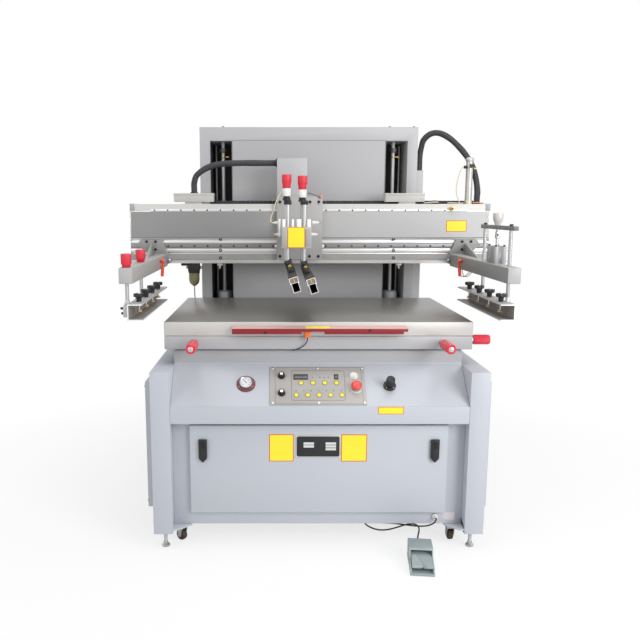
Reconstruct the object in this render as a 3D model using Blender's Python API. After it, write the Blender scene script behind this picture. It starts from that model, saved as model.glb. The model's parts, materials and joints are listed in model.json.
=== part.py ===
"""Flatbed screen printing machine, in metres: X across, Y to the rear, Z up, floor at zero.

A steel cabinet on levelling feet carries the printing table at the front and the lift column at
the rear. The head beam runs up and down on two guide rods in the column. It carries the squeegee
carriage, which prints from side to side, and two forward arms with the clamps that hold the screen.
"""

import math

import bmesh
import bpy
from mathutils import Matrix, Vector

# Fits between neighbouring pieces
SEAT_GAP = 0.0003
SLIDE_GAP = 0.0005
ROD_CLEARANCE = 0.0010

# Side frames
FRAME_HALF_WIDTH = 0.640
FRAME_THICKNESS = 0.073
FRAME_FRONT_Y = -0.620
FRAME_REAR_Y = 0.835
FRAME_BOTTOM_Z = 0.066
FRAME_TOP_Z = 0.7085
SIDE_COVER_PROUD = 0.037
SIDE_COVER_FRONT_SETBACK = 0.110
SIDE_COVER_REAR_SETBACK = 0.095
SIDE_COVER_BOTTOM_Z = 0.135
SIDE_COVER_TOP_Z = 0.647
GUSSET_REACH = 0.070
GUSSET_DEPTH = 0.120
GUSSET_THICKNESS = 0.006

# Levelling feet
FOOT_INSET = 0.040
FOOT_SETBACK = 0.040
FOOT_RADIUS = 0.014
FOOT_HEIGHT = 0.012
FOOT_SCREW_RADIUS = 0.007

# Casters
CASTER_INSET = 0.106
CASTER_SETBACK = 0.085
CASTER_WHEEL_RADIUS = 0.023
CASTER_WHEEL_WIDTH = 0.022
CASTER_FLOOR_CLEARANCE = 0.003
CASTER_TRAIL = 0.012
CASTER_CHEEK = 0.003
CASTER_CHEEK_GAP = 0.0015
CASTER_AXLE_RADIUS = 0.004
CASTER_PLATE_RADIUS = 0.024
CASTER_PLATE_THICKNESS = 0.004
CASTER_REST_TURN = {"front_left": 50.0, "front_right": 0.0, "rear_left": 0.0, "rear_right": 0.0}

# Cabinet, door and console
CABINET_SETBACK = 0.055
CABINET_BOTTOM_Z = 0.086
DOOR_SIDE_MARGIN = 0.069
DOOR_BOTTOM_Z = 0.140
DOOR_TOP_Z = 0.494
DOOR_THICKNESS = 0.020
LATCH_INSET = 0.051
LATCH_TOP_Z = 0.440
LATCH_LENGTH = 0.092
LATCH_WIDTH = 0.032
LATCH_THICKNESS = 0.012
CONSOLE_BOTTOM_Z = 0.509
SLOPE_FOOT_Z = 0.576
SLOPE_SETBACK = 0.005
SLOPE_RUN = 0.143
SLOPE_RISE = 0.133
CONSOLE_TOP_SETBACK = 0.155
CONSOLE_TOP_Z = 0.765
BEARER_X = 0.300
BEARER_WIDTH = 0.060
BEARER_REAR_Y = 0.250

# Controls on the slope, as places across and up the slope
PANEL_LEFT_X = -0.190
PANEL_RIGHT_X = 0.179
PANEL_FOOT = 0.007
PANEL_HEAD = 0.183
PANEL_THICKNESS = 0.003
STOP_PLACE = (0.1416, 0.080)
STOP_COLLAR_RADIUS = 0.021
STOP_COLLAR_HEIGHT = 0.012
STOP_HEAD_RADIUS = 0.020
STOP_HEAD_HEIGHT = 0.013
STOP_STEM_RADIUS = 0.010
STOP_TRAVEL = 0.006
START_PLACE = (0.1366, 0.1385)
START_BEZEL_RADIUS = 0.016
START_BEZEL_HEIGHT = 0.004
START_RADIUS = 0.012
START_PROUD = 0.004
START_TRAVEL = 0.003
BUTTON_FIT = 0.0005
DIAL_X = -0.144
DIAL_HIGH = 0.1385
DIAL_LOW = 0.0589
DIAL_RADIUS = 0.0145
DIAL_HEIGHT = 0.017
GAUGE_PLACE = (-0.281, 0.1025)
GAUGE_FLANGE_RADIUS = 0.036
GAUGE_FLANGE_HEIGHT = 0.005
GAUGE_BODY_RADIUS = 0.030
GAUGE_BODY_HEIGHT = 0.016
REGULATOR_PLACE = (0.272, 0.094)
REGULATOR_FLANGE_RADIUS = 0.024
REGULATOR_FLANGE_HEIGHT = 0.008
REGULATOR_NECK_RADIUS = 0.015
REGULATOR_NECK_HEIGHT = 0.010
REGULATOR_KNOB_RADIUS = 0.017
REGULATOR_KNOB_HEIGHT = 0.030

# Column
COLUMN_STEP = 0.022
COLUMN_FRONT_Y = 0.485
COLUMN_TOP_Z = 1.715
SLOT_INSET = 0.052
SLOT_WIDTH = 0.108
SLOT_BOTTOM_Z = 0.800
SLOT_TOP_Z = 1.648
SLOT_DEPTH = 0.250
ROD_PAST_SLOT_EDGE = 0.048
ROD_Y = 0.560
ROD_RADIUS = 0.009
ROD_CLAMP_RADIUS = 0.020
ROD_CLAMP_HEIGHT = 0.022
ROD_CLAMP_TOP_DROP = 0.030
DUCT_WIDTH = 0.034
DUCT_FRONT_Y = 0.500
DUCT_REAR_Y = 0.540
DUCT_BOTTOM_Z = 0.770
DUCT_TOP_Z = 1.505

# Table
TABLE_HALF_WIDTH = 0.600
TABLE_FRONT_Y = -0.4875
TABLE_REAR_Y = 0.325
TRAY_BOTTOM_Z = 0.772
TRAY_THICKNESS = 0.053
TABLE_TOP_Z = 0.881
TABLE_EDGE_BEVEL = 0.003
ADJUSTER_RADIUS = 0.020
ADJUSTER_SHAFT_RADIUS = 0.014
ADJUSTER_SHAFT_LENGTH = 0.030
ADJUSTER_LENGTH = 0.148
ADJUSTER_LEFT_X = -0.4820
ADJUSTER_RIGHT_X = 0.4835
ADJUSTER_FRONT_Z = 0.7990
ADJUSTER_SIDE_Y = -0.420
ADJUSTER_SIDE_Z = 0.800
ADJUSTER_SIDE_SHAFT_LENGTH = 0.018
ADJUSTER_SIDE_LENGTH = 0.086
SAFETY_BAR_LEFT_X = -0.334
SAFETY_BAR_RIGHT_X = 0.341
SAFETY_BAR_REACH = 0.0375
SAFETY_BAR_BACK_Z = 0.8666
SAFETY_BAR_NOSE_TOP_Z = 0.860
SAFETY_BAR_NOSE_BOTTOM_Z = 0.838
SAFETY_BAR_LIP = 0.012
SAFETY_BAR_PLATE = 0.012
SAFETY_BAR_LIP_SETBACK = 0.002
SAFETY_BAR_LIP_GAP_X = (-0.067, 0.021)
SAFETY_BAR_LIP_SHORT = 0.016

# Head beam
BEAM_HALF_LENGTH = 0.870
BEAM_FRONT_Y = 0.305
BEAM_DEPTH = 0.120
BEAM_BOTTOM_Z = 1.052
BEAM_TOP_Z = 1.337
COVER_BOTTOM_Z = 1.177
COVER_TOP_Z = 1.300
COVER_PROUD = 0.003
RAIL_BOTTOM_Z = 1.124
RAIL_TOP_Z = 1.148
RAIL_DEPTH = 0.010
GROOVE_DEPTH = 0.008
LOWER_GROOVE_Z = (1.098, 1.106)
UPPER_GROOVE_Z = (1.160, 1.168)
LIP_PROUD = 0.004
LIP_HEIGHT = 0.014
LIFT_BLOCK_WIDTH = 0.050
LIFT_BLOCK_BOTTOM_Z = 1.100
LIFT_BLOCK_TOP_Z = 1.300
LIFT_BLOCK_CHEEK = 0.014
LIFT_BLOCK_REACH = 0.025
HOSE_BOX_DEPTH = 0.075
HOSE_BOX_SETBACK = 0.020
HOSE_BOX_TOP_Z = 1.388
HOSE_BOX_LEFT_INSETS = (0.211, 0.403)
HOSE_BOX_RIGHT_INSETS = (0.504, 0.314)
HOSE_BOX_BEVEL = 0.003
RAM_INSET = 0.0935
RAM_RADIUS = 0.017
RAM_TOP_Z = 1.560
RAM_CAP_HEIGHT = 0.018
RAM_CAP_EXTRA = 0.003
FILTER_INSET = 0.301
FILTER_Y = 0.345
FILTER_RADIUS = 0.026
FILTER_BOTTOM_Z = 0.937
FILTER_HEAD_Z = 1.010
FILTER_HEAD_HALF = 0.028

# Carriage and cantilever
CARRIAGE_LEFT_X = -0.160
CARRIAGE_RIGHT_X = 0.058
CARRIAGE_FRONT_Y = 0.265
CARRIAGE_THICKNESS = 0.012
CARRIAGE_BOTTOM_Z = 1.073
CARRIAGE_TOP_Z = 1.372
RUNNER_BOTTOM_Z = 1.110
RUNNER_TOP_Z = 1.158
RISER_RIGHT_X = -0.015
RISER_DEPTH = 0.095
RISER_BOTTOM_Z = 1.350
RISER_TOP_Z = 1.552
CANTILEVER_LEFT_X = -0.133
CANTILEVER_RIGHT_X = -0.033
CANTILEVER_BOTTOM_Z = 1.165
CANTILEVER_TOP_Z = 1.233
LIFT_CASE_LEFT_X = -0.143
LIFT_CASE_RIGHT_X = -0.023
LIFT_CASE_FRONT_Y = -0.335
LIFT_CASE_DEPTH = 0.100
LIFT_CASE_BOTTOM_Z = 1.157
LIFT_CASE_TOP_Z = 1.241

# Flood bar and squeegee, hung side by side
FLOOD_X = -0.118
SQUEEGEE_X = -0.051
GUIDE_FRONT_Y = -0.310
GUIDE_REAR_Y = -0.262
GUIDE_RADIUS = 0.007
GUIDE_TOP_Z = 1.345
GUIDE_BRIDGE_HEIGHT = 0.016
GUIDE_BRIDGE_WIDTH = 0.030
KNOB_COLLAR_RADIUS = 0.012
KNOB_COLLAR_HEIGHT = 0.034
PRESS_KNOB_OFFSET = -0.005
PRESS_KNOB_RADIUS = 0.0185
PRESS_KNOB_TOP_Z = 1.447
PRESS_KNOB_BOTTOM_Z = 1.392
YOKE_TOP_Z = 1.110
YOKE_UNDER_PIN = 0.011
YOKE_RIGHT_OF_PIN = 0.011
YOKE_LEFT_OF_PIN = 0.014
YOKE_LEFT_OF_ROD = 0.010
YOKE_FRONT_Y = -0.326
YOKE_REAR_Y = -0.246
YOKE_SLOT = 0.024
BLADE_CENTRE_Y = -0.286
BLADE_HALF_LENGTH = 0.337
FLOOD_PIVOT = (-0.110, 1.084)
FLOOD_LEAN = 18.0
SQUEEGEE_PIVOT = (-0.046, 1.080)
SQUEEGEE_LEAN = 18.0
PIN_RADIUS = 0.004
CLEAR_UNDER_YOKE = 0.014
HOLDER_TONGUE_WIDTH = 0.020
HOLDER_TONGUE_HALF_LENGTH = 0.010
CHANNEL_WIDTH = 0.034
CHANNEL_TOP_DROP = 0.006
CHANNEL_HEIGHT = 0.026
CHANNEL_WALL = 0.003
TUBE_TOP_DROP = 0.020
TUBE_HEIGHT = 0.038
TUBE_OVERLAP = 0.0005
TUBE_WALL = 0.0025
TUBE_END_WEB = 0.004

# Screen arms and clamps
ARM_INSET = 0.153
ARM_RIGHT_SHIFT = -0.010
ARM_WIDTH = 0.050
ARM_BOTTOM_Z = 1.040
ARM_TOP_Z = 1.099
ARM_FRONT_Y = -0.615
ARM_PLATE_THICKNESS = 0.012
ARM_PLATE_OUTLINE = ((0.0, 0.0045), (0.1197, 0.100), (0.104, 0.127), (0.003, 0.127), (-0.038, 0.037),
                     (-0.034, 0.012))
ARM_GUSSET_TOP_Z = 1.150
ARM_GUSSET_RUN = 0.360
ARM_GUSSET_OUT = (0.050, 0.017)
ARM_GUSSET_THICKNESS = 0.008
CLAMP_REACH_IN = 0.062
CLAMP_WIDTH = 0.055
CLAMP_BOTTOM_Z = 0.907
CLAMP_TOP_Z = 0.968
CLAMP_FRONT_Y = -0.642
CLAMP_LENGTH = 0.650
CLAMP_WALL = 0.005
STAR_KNOB_REACH_IN = 0.037
STAR_KNOB_YS = (-0.557, -0.405, -0.255, -0.103)
STAR_KNOB_RADIUS = 0.015
STAR_KNOB_Z = (0.988, 1.003)
STAR_SCREW_RADIUS = 0.004
STAR_PAD_RADIUS = 0.010
STAR_PAD_Z = (0.930, 0.936)
HANGER_RADIUS = 0.006
HANGER_BLOCK_PROUD = 0.014
HANGER_BLOCK_HALF = 0.018
HANGER_BLOCK_Z = (0.915, 0.960)
LEFT_HANGER_YS = (-0.590, -0.295)
LEFT_KNOB_RADIUS = 0.0195
LEFT_KNOB_TOP_Z = 1.150
LEFT_HANGER_TOP_Z = 1.104
RIGHT_HANGER_YS = (-0.517, -0.172)
CROSSBAR_Y = (-0.578, -0.140)
CROSSBAR_Z = (1.232, 1.248)
CROSSBAR_HALF_WIDTH = 0.009
PEEL_CASE_Y = (-0.400, -0.290)
PEEL_CASE_HALF_WIDTH = 0.024
PEEL_CASE_TOP_Z = 1.166
PEEL_ROD_RADIUS = 0.005
PEEL_ROD_BOTTOM_Z = 1.135
PEEL_KNOB_RADIUS = 0.020
PEEL_KNOB_Z = (1.250, 1.296)
LEVER_Y = 0.050
LEVER_Z = 1.080
LEVER_LENGTH = 0.062
LEVER_THICKNESS = 0.008
LEVER_HUB_RADIUS = 0.009

# Foot pedal and its lead
PEDAL_LEFT_X = 0.341
PEDAL_RIGHT_X = 0.429
PEDAL_YAW = -6.0
PEDAL_FRONT_Y = -0.8312
PEDAL_REAR_Y = -0.665
PEDAL_BASE_HEIGHT = 0.010
PEDAL_SIDE = 0.005
PEDAL_SIDE_HEIGHT = 0.036
PEDAL_HOOD_FRONT_Y = -0.748
PEDAL_HOOD_TOP_Z = 0.070
PEDAL_HOOD_THICKNESS = 0.007
PEDAL_REAR_WALL = 0.012
TREADLE_PIVOT_Y = -0.700
TREADLE_PIVOT_Z = 0.048
TREADLE_PIVOT_RADIUS = 0.004
TREADLE_FRONT_Y = -0.824
TREADLE_FRONT_Z = 0.030
TREADLE_THICKNESS = 0.008
TREADLE_SIDE_GAP = 0.0015
LEAD_RADIUS = 0.003
LEAD_EXIT_INSET = 0.105
LEAD_EXIT_Z = 0.116
GLAND_RADIUS = 0.011
GLAND_LENGTH = 0.020
RELIEF_RADIUS = 0.0055
RELIEF_LENGTH = 0.015
LEAD_PEDAL_X = 0.383
LEAD_PEDAL_Z = 0.014

# Hoses
HOSE_RADIUS = 0.015
BEAM_HOSE_INSET = 0.308
COLUMN_HOSE_INSET = 0.048
COLUMN_HOSE_END_Y = 0.375

GREY = (0.62, 0.66, 0.70)
DARK = (0.03, 0.03, 0.03)
ALUMINIUM = (0.72, 0.73, 0.75)
CHROME = (0.80, 0.80, 0.82)
RED = (0.65, 0.02, 0.03)
ORANGE = (0.80, 0.20, 0.05)
BRONZE = (0.28, 0.23, 0.08)
PEDAL_GREY = (0.40, 0.46, 0.44)

for old in list(bpy.data.objects):
    bpy.data.objects.remove(old, do_unlink=True)


def material(name, colour, roughness, metallic):
    """One Principled material per finish, made once."""
    found = bpy.data.materials.get(name)
    if found:
        return found
    made = bpy.data.materials.new(name)
    made.use_nodes = True
    shader = made.node_tree.nodes["Principled BSDF"]
    shader.inputs["Base Color"].default_value = (*colour, 1.0)
    shader.inputs["Roughness"].default_value = roughness
    shader.inputs["Metallic"].default_value = metallic
    return made


def paint():
    return material("grey_enamel", GREY, 0.45, 0.0)


def black():
    return material("black_plastic", DARK, 0.5, 0.0)


def aluminium():
    return material("aluminium", ALUMINIUM, 0.35, 1.0)


def chrome():
    return material("chrome", CHROME, 0.15, 1.0)


def red():
    return material("red_plastic", RED, 0.35, 0.0)


def new_object(name, mesh, finish):
    shape = bpy.data.objects.new(name, mesh)
    shape.data.materials.append(finish)
    bpy.context.scene.collection.objects.link(shape)
    return shape


def from_bmesh(name, bm, finish):
    """Turns a bmesh into an object with its faces pointing out."""
    bmesh.ops.recalc_face_normals(bm, faces=bm.faces)
    mesh = bpy.data.meshes.new(name)
    bm.to_mesh(mesh)
    bm.free()
    return new_object(name, mesh, finish)


def box(name, x, y, z, finish):
    """A block between two values on each axis."""
    bm = bmesh.new()
    bmesh.ops.create_cube(bm, size=1.0)
    size = Vector((x[1] - x[0], y[1] - y[0], z[1] - z[0]))
    centre = Vector(((x[0] + x[1]) / 2, (y[0] + y[1]) / 2, (z[0] + z[1]) / 2))
    bmesh.ops.scale(bm, vec=size, verts=bm.verts)
    bmesh.ops.translate(bm, vec=centre, verts=bm.verts)
    return from_bmesh(name, bm, finish)


def prism(name, outline, axis, span, finish):
    """Extrudes an outline along an axis: (y, z) along X, (x, z) along Y, (x, y) along Z."""
    place = {
        "X": lambda a, b, along: (along, a, b),
        "Y": lambda a, b, along: (a, along, b),
        "Z": lambda a, b, along: (a, b, along),
    }[axis]
    bm = bmesh.new()
    near = [bm.verts.new(place(a, b, span[0])) for a, b in outline]
    face = bm.faces.new(near)
    far = bmesh.ops.extrude_face_region(bm, geom=[face])["geom"]
    along = Vector(place(0.0, 0.0, span[1] - span[0]))
    bmesh.ops.translate(bm, vec=along, verts=[v for v in far if isinstance(v, bmesh.types.BMVert)])
    return from_bmesh(name, bm, finish)


def turned(name, profile, sides, finish):
    """Revolves (radius, height) points about Z; the first and last lie on the axis."""
    bm = bmesh.new()
    bottom = bm.verts.new((0.0, 0.0, profile[0][1]))
    top = bm.verts.new((0.0, 0.0, profile[-1][1]))
    rings = []
    for radius, height in profile[1:-1]:
        turns = [2 * math.pi * i / sides for i in range(sides)]
        rings.append([bm.verts.new((radius * math.cos(t), radius * math.sin(t), height)) for t in turns])
    for i in range(sides):
        j = (i + 1) % sides
        bm.faces.new((bottom, rings[0][j], rings[0][i]))
        bm.faces.new((top, rings[-1][i], rings[-1][j]))
        for low, high in zip(rings, rings[1:]):
            bm.faces.new((low[i], low[j], high[j], high[i]))
    shape = from_bmesh(name, bm, finish)
    shape.data.shade_smooth()
    shape.data.set_sharp_from_angle(angle=math.radians(40))
    return shape


def rod(name, start, end, radius, sides, finish):
    """A plain round bar between two points."""
    start = Vector(start)
    along = Vector(end) - start
    bar = turned(name, [(0, 0), (radius, 0), (radius, along.length), (0, along.length)], sides, finish)
    turn = Vector((0, 0, 1)).rotation_difference(along.normalized())
    bar.data.transform(Matrix.Translation(start) @ turn.to_matrix().to_4x4())
    return bar


def moved(shape, transform):
    shape.data.transform(transform)
    return shape


def join_or_cut(body, tools, operation):
    """Adds a Boolean for each tool; the tools stay as hidden guides."""
    for tool in tools:
        step = body.modifiers.new(operation.lower(), "BOOLEAN")
        step.operation = operation
        step.solver = "EXACT"
        step.object = tool
        tool.hide_render = True
        tool.display_type = "WIRE"
    return body


def fuse(body, *tools):
    return join_or_cut(body, tools, "UNION")


def cut(body, *tools):
    return join_or_cut(body, tools, "DIFFERENCE")


def bevel(shape, width, segments=2):
    edge = shape.modifiers.new("bevel", "BEVEL")
    edge.width = width
    edge.segments = segments
    edge.limit_method = "ANGLE"
    edge.angle_limit = math.radians(40)
    return shape


def set_origin(shape, point):
    """Puts the object's origin on its joint's axis and leaves the shape where it is."""
    shape.data.transform(Matrix.Translation(-Vector(point)))
    shape.location = point
    return shape


def mirrored(side, x):
    """A pair of X values for one side of the machine, in rising order."""
    return tuple(sorted((side * x[0], side * x[1])))


def seated(low, high):
    """A span that stops short of both its neighbours by the seating gap."""
    return (low + SEAT_GAP, high - SEAT_GAP)


FRAME_INNER_X = FRAME_HALF_WIDTH - FRAME_THICKNESS
DOOR_HALF_WIDTH = FRAME_INNER_X - DOOR_SIDE_MARGIN
LATCH_X = DOOR_HALF_WIDTH - LATCH_INSET
LEAD_EXIT_X = FRAME_INNER_X - LEAD_EXIT_INSET
COLUMN_HALF_WIDTH = FRAME_INNER_X - COLUMN_STEP
SLOT_OUTER_X = COLUMN_HALF_WIDTH - SLOT_INSET
SLOT_INNER_X = SLOT_OUTER_X - SLOT_WIDTH
ROD_X = SLOT_INNER_X + ROD_PAST_SLOT_EDGE
RAM_X = BEAM_HALF_LENGTH - RAM_INSET
FILTER_X = FILTER_INSET - BEAM_HALF_LENGTH
HOSE_BOX_LEFT = tuple(inset - BEAM_HALF_LENGTH for inset in HOSE_BOX_LEFT_INSETS)
HOSE_BOX_RIGHT = tuple(BEAM_HALF_LENGTH - inset for inset in HOSE_BOX_RIGHT_INSETS)
ARM_X = BEAM_HALF_LENGTH - ARM_INSET
CLAMP_INNER_X = ARM_X - CLAMP_REACH_IN
CLAMP_OUTER_X = CLAMP_INNER_X + CLAMP_WIDTH
STAR_KNOB_X = ARM_X - STAR_KNOB_REACH_IN
HANGER_BLOCK_OUTER_X = ARM_X + HANGER_BLOCK_PROUD
BODY_HALF_WIDTH = FRAME_INNER_X - SEAT_GAP
CABINET_FRONT_Y = FRAME_FRONT_Y + CABINET_SETBACK
SLOPE_FOOT_Y = FRAME_FRONT_Y + SLOPE_SETBACK
CONSOLE_FACE_Y = FRAME_FRONT_Y + CONSOLE_TOP_SETBACK
BODY_REAR_Y = COLUMN_FRONT_Y - SEAT_GAP
CORNERS = {
    "front_left": (-1, FRAME_FRONT_Y, 1),
    "front_right": (1, FRAME_FRONT_Y, 1),
    "rear_left": (-1, FRAME_REAR_Y, -1),
    "rear_right": (1, FRAME_REAR_Y, -1),
}


def levelling_foot(name, side, edge_y, inward):
    x = side * (FRAME_HALF_WIDTH - FOOT_INSET)
    y = edge_y + inward * FOOT_SETBACK
    sink = 0.010
    profile = [
        (0, 0),
        (FOOT_RADIUS, 0),
        (FOOT_RADIUS, FOOT_HEIGHT * 0.6),
        (FOOT_SCREW_RADIUS * 1.3, FOOT_HEIGHT),
        (FOOT_SCREW_RADIUS, FOOT_HEIGHT * 1.4),
        (FOOT_SCREW_RADIUS, FRAME_BOTTOM_Z + sink),
        (0, FRAME_BOTTOM_Z + sink),
    ]
    return moved(turned(name, profile, 20, chrome()), Matrix.Translation((x, y, 0)))


def caster_gusset(name, side, edge_y, inward):
    """The plate welded inside a corner, that the caster bolts to."""
    inner = side * (FRAME_INNER_X - GUSSET_REACH)
    outer = side * (FRAME_INNER_X + 0.010)
    front = edge_y + inward * 0.002
    back = edge_y + inward * GUSSET_DEPTH
    nose = side * (FRAME_INNER_X - GUSSET_REACH * 0.25)
    outline = [(outer, front), (nose, front), (inner, front + inward * 0.050), (inner, back), (outer, back)]
    top = CABINET_BOTTOM_Z - SEAT_GAP
    return prism(name, outline, "Z", (top - GUSSET_THICKNESS, top), paint())


def side_frame(name, side):
    """One side of the base: a folded box with a proud cover, two feet and two caster plates."""
    body = box(name, mirrored(side, (FRAME_INNER_X, FRAME_HALF_WIDTH)), (FRAME_FRONT_Y, FRAME_REAR_Y),
               (FRAME_BOTTOM_Z, FRAME_TOP_Z), paint())
    cover = box(name + "_cover", mirrored(side, (FRAME_HALF_WIDTH - 0.010, FRAME_HALF_WIDTH + SIDE_COVER_PROUD)),
                (FRAME_FRONT_Y + SIDE_COVER_FRONT_SETBACK, FRAME_REAR_Y - SIDE_COVER_REAR_SETBACK),
                (SIDE_COVER_BOTTOM_Z, SIDE_COVER_TOP_Z), paint())
    tools = [cover]
    for corner, (corner_side, edge_y, inward) in CORNERS.items():
        if corner_side == side:
            tools.append(levelling_foot(corner + "_foot_tool", side, edge_y, inward))
            tools.append(caster_gusset(corner + "_gusset_tool", side, edge_y, inward))
    return fuse(body, *tools)


side_frame("frame_left", -1)
side_frame("frame_right", 1)


def caster(corner, side, edge_y, inward):
    """A swivelling fork and its wheel, just clear of the floor while the feet carry the machine."""
    x = side * (FRAME_HALF_WIDTH - CASTER_INSET)
    y = edge_y + inward * CASTER_SETBACK
    top = CABINET_BOTTOM_Z - GUSSET_THICKNESS - 2 * SEAT_GAP
    axle_z = CASTER_FLOOR_CLEARANCE + CASTER_WHEEL_RADIUS
    turn = Matrix.Rotation(math.radians(CASTER_REST_TURN[corner]), 4, "Z")
    place = Matrix.Translation((x, y, 0)) @ turn
    plate_bottom = top - CASTER_PLATE_THICKNESS
    half = CASTER_WHEEL_WIDTH / 2 + CASTER_CHEEK_GAP
    crown_bottom = axle_z + CASTER_WHEEL_RADIUS + 0.004
    fork = turned("caster_fork_" + corner, [(0, plate_bottom - 0.002), (CASTER_PLATE_RADIUS, plate_bottom - 0.002),
                                            (CASTER_PLATE_RADIUS, top), (0, top)], 20, chrome())
    crown = box(corner + "_crown_tool", (-half - CASTER_CHEEK, half + CASTER_CHEEK),
                (CASTER_TRAIL - 0.016, CASTER_TRAIL + 0.010), (crown_bottom, plate_bottom), chrome())
    cheeks = []
    for cheek_side in (-1, 1):
        span = mirrored(cheek_side, (half, half + CASTER_CHEEK))
        outline = [
            (CASTER_TRAIL - 0.016, crown_bottom + 0.003),
            (CASTER_TRAIL - 0.010, axle_z - 0.004),
            (CASTER_TRAIL, axle_z - 0.009),
            (CASTER_TRAIL + 0.008, axle_z - 0.004),
            (CASTER_TRAIL + 0.010, crown_bottom + 0.003),
        ]
        cheeks.append(prism("{}_cheek_tool_{}".format(corner, cheek_side), outline, "X", span, chrome()))
    axle = rod(corner + "_axle_tool", (-half - 0.001, CASTER_TRAIL, axle_z), (half + 0.001, CASTER_TRAIL, axle_z),
               CASTER_AXLE_RADIUS, 16, chrome())
    for piece in [crown, axle] + cheeks:
        moved(piece, place)
    moved(fork, place)
    set_origin(fork, (x, y, top))
    fuse(fork, crown, *cheeks, axle)
    tread = CASTER_WHEEL_WIDTH / 2
    hub = CASTER_WHEEL_RADIUS * 0.55
    bore = CASTER_AXLE_RADIUS + SLIDE_GAP
    wheel = turned("caster_wheel_" + corner, [(0, -tread), (hub, -tread), (CASTER_WHEEL_RADIUS - 0.003, -tread * 0.8),
                                              (CASTER_WHEEL_RADIUS, -tread * 0.4), (CASTER_WHEEL_RADIUS, tread * 0.4),
                                              (CASTER_WHEEL_RADIUS - 0.003, tread * 0.8), (hub, tread), (0, tread)],
                   24, black())
    lay = Matrix.Translation((0, CASTER_TRAIL, axle_z)) @ Matrix.Rotation(math.radians(90), 4, "Y")
    moved(wheel, place @ lay)
    hole = rod(corner + "_bore_tool", (-half, CASTER_TRAIL, axle_z), (half, CASTER_TRAIL, axle_z), bore, 16, black())
    moved(hole, place)
    centre = place @ Vector((0, CASTER_TRAIL, axle_z))
    set_origin(wheel, centre)
    cut(wheel, hole)


for corner_name, (corner_side, corner_y, corner_inward) in CORNERS.items():
    caster(corner_name, corner_side, corner_y, corner_inward)


def cabinet():
    box("cabinet", (-BODY_HALF_WIDTH, BODY_HALF_WIDTH), (CABINET_FRONT_Y, BODY_REAR_Y),
        (CABINET_BOTTOM_Z, CONSOLE_BOTTOM_Z - SEAT_GAP), paint())
    front = CABINET_FRONT_Y - SEAT_GAP
    door = box("cabinet_door", (-DOOR_HALF_WIDTH, DOOR_HALF_WIDTH), (front - DOOR_THICKNESS, front),
               (DOOR_BOTTOM_Z, DOOR_TOP_Z), paint())
    bevel(door, 0.002, 2)
    for name, side in (("latch_left", -1), ("latch_right", 1)):
        x = side * LATCH_X
        half = LATCH_WIDTH / 2
        point = LATCH_TOP_Z - LATCH_LENGTH
        outline = [(x - half, LATCH_TOP_Z), (x - half, point + half), (x, point), (x + half, point + half),
                   (x + half, LATCH_TOP_Z)]
        face = front - DOOR_THICKNESS - SEAT_GAP
        bevel(prism(name, outline, "Y", (face - LATCH_THICKNESS, face), black()), 0.002, 2)


cabinet()

SLOPE_HEAD_Y = SLOPE_FOOT_Y + SLOPE_RUN
SLOPE_HEAD_Z = SLOPE_FOOT_Z + SLOPE_RISE


def console_housing():
    """The front rail, the sloping console and the deck under the table, folded from one sheet."""
    outline = [
        (FRAME_FRONT_Y, CONSOLE_BOTTOM_Z),
        (FRAME_FRONT_Y, SLOPE_FOOT_Z),
        (SLOPE_FOOT_Y, SLOPE_FOOT_Z),
        (SLOPE_HEAD_Y, SLOPE_HEAD_Z),
        (CONSOLE_FACE_Y, SLOPE_HEAD_Z + 0.004),
        (CONSOLE_FACE_Y, CONSOLE_TOP_Z),
        (BODY_REAR_Y, CONSOLE_TOP_Z),
        (BODY_REAR_Y, CONSOLE_BOTTOM_Z),
    ]
    housing = prism("console_housing", outline, "X", (-BODY_HALF_WIDTH, BODY_HALF_WIDTH), paint())
    bearers = []
    for side in (-1, 1):
        x = mirrored(side, (BEARER_X - BEARER_WIDTH / 2, BEARER_X + BEARER_WIDTH / 2))
        bearers.append(box("bearer_tool_{}".format(side), x, (CONSOLE_FACE_Y + 0.030, BEARER_REAR_Y),
                           (CONSOLE_TOP_Z - 0.010, TRAY_BOTTOM_Z - SEAT_GAP), paint()))
    return fuse(housing, *bearers)


console_housing()

SLOPE_ANGLE = math.atan2(SLOPE_RISE, SLOPE_RUN)
ON_SLOPE = Matrix.Translation((0, SLOPE_FOOT_Y, SLOPE_FOOT_Z)) @ Matrix.Rotation(SLOPE_ANGLE, 4, "X")


def slope_point(place, height):
    """A point over the slope, in the machine's own axes."""
    return ON_SLOPE @ Vector((place[0], place[1], height))


def slope_turned(name, place, base, profile, sides, finish):
    """A turned piece that stands on the slope."""
    shape = turned(name, profile, sides, finish)
    return moved(shape, ON_SLOPE @ Matrix.Translation((place[0], place[1], base)))


def disc(radius, bottom, top):
    return [(0, bottom), (radius, bottom), (radius, top), (0, top)]


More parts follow.
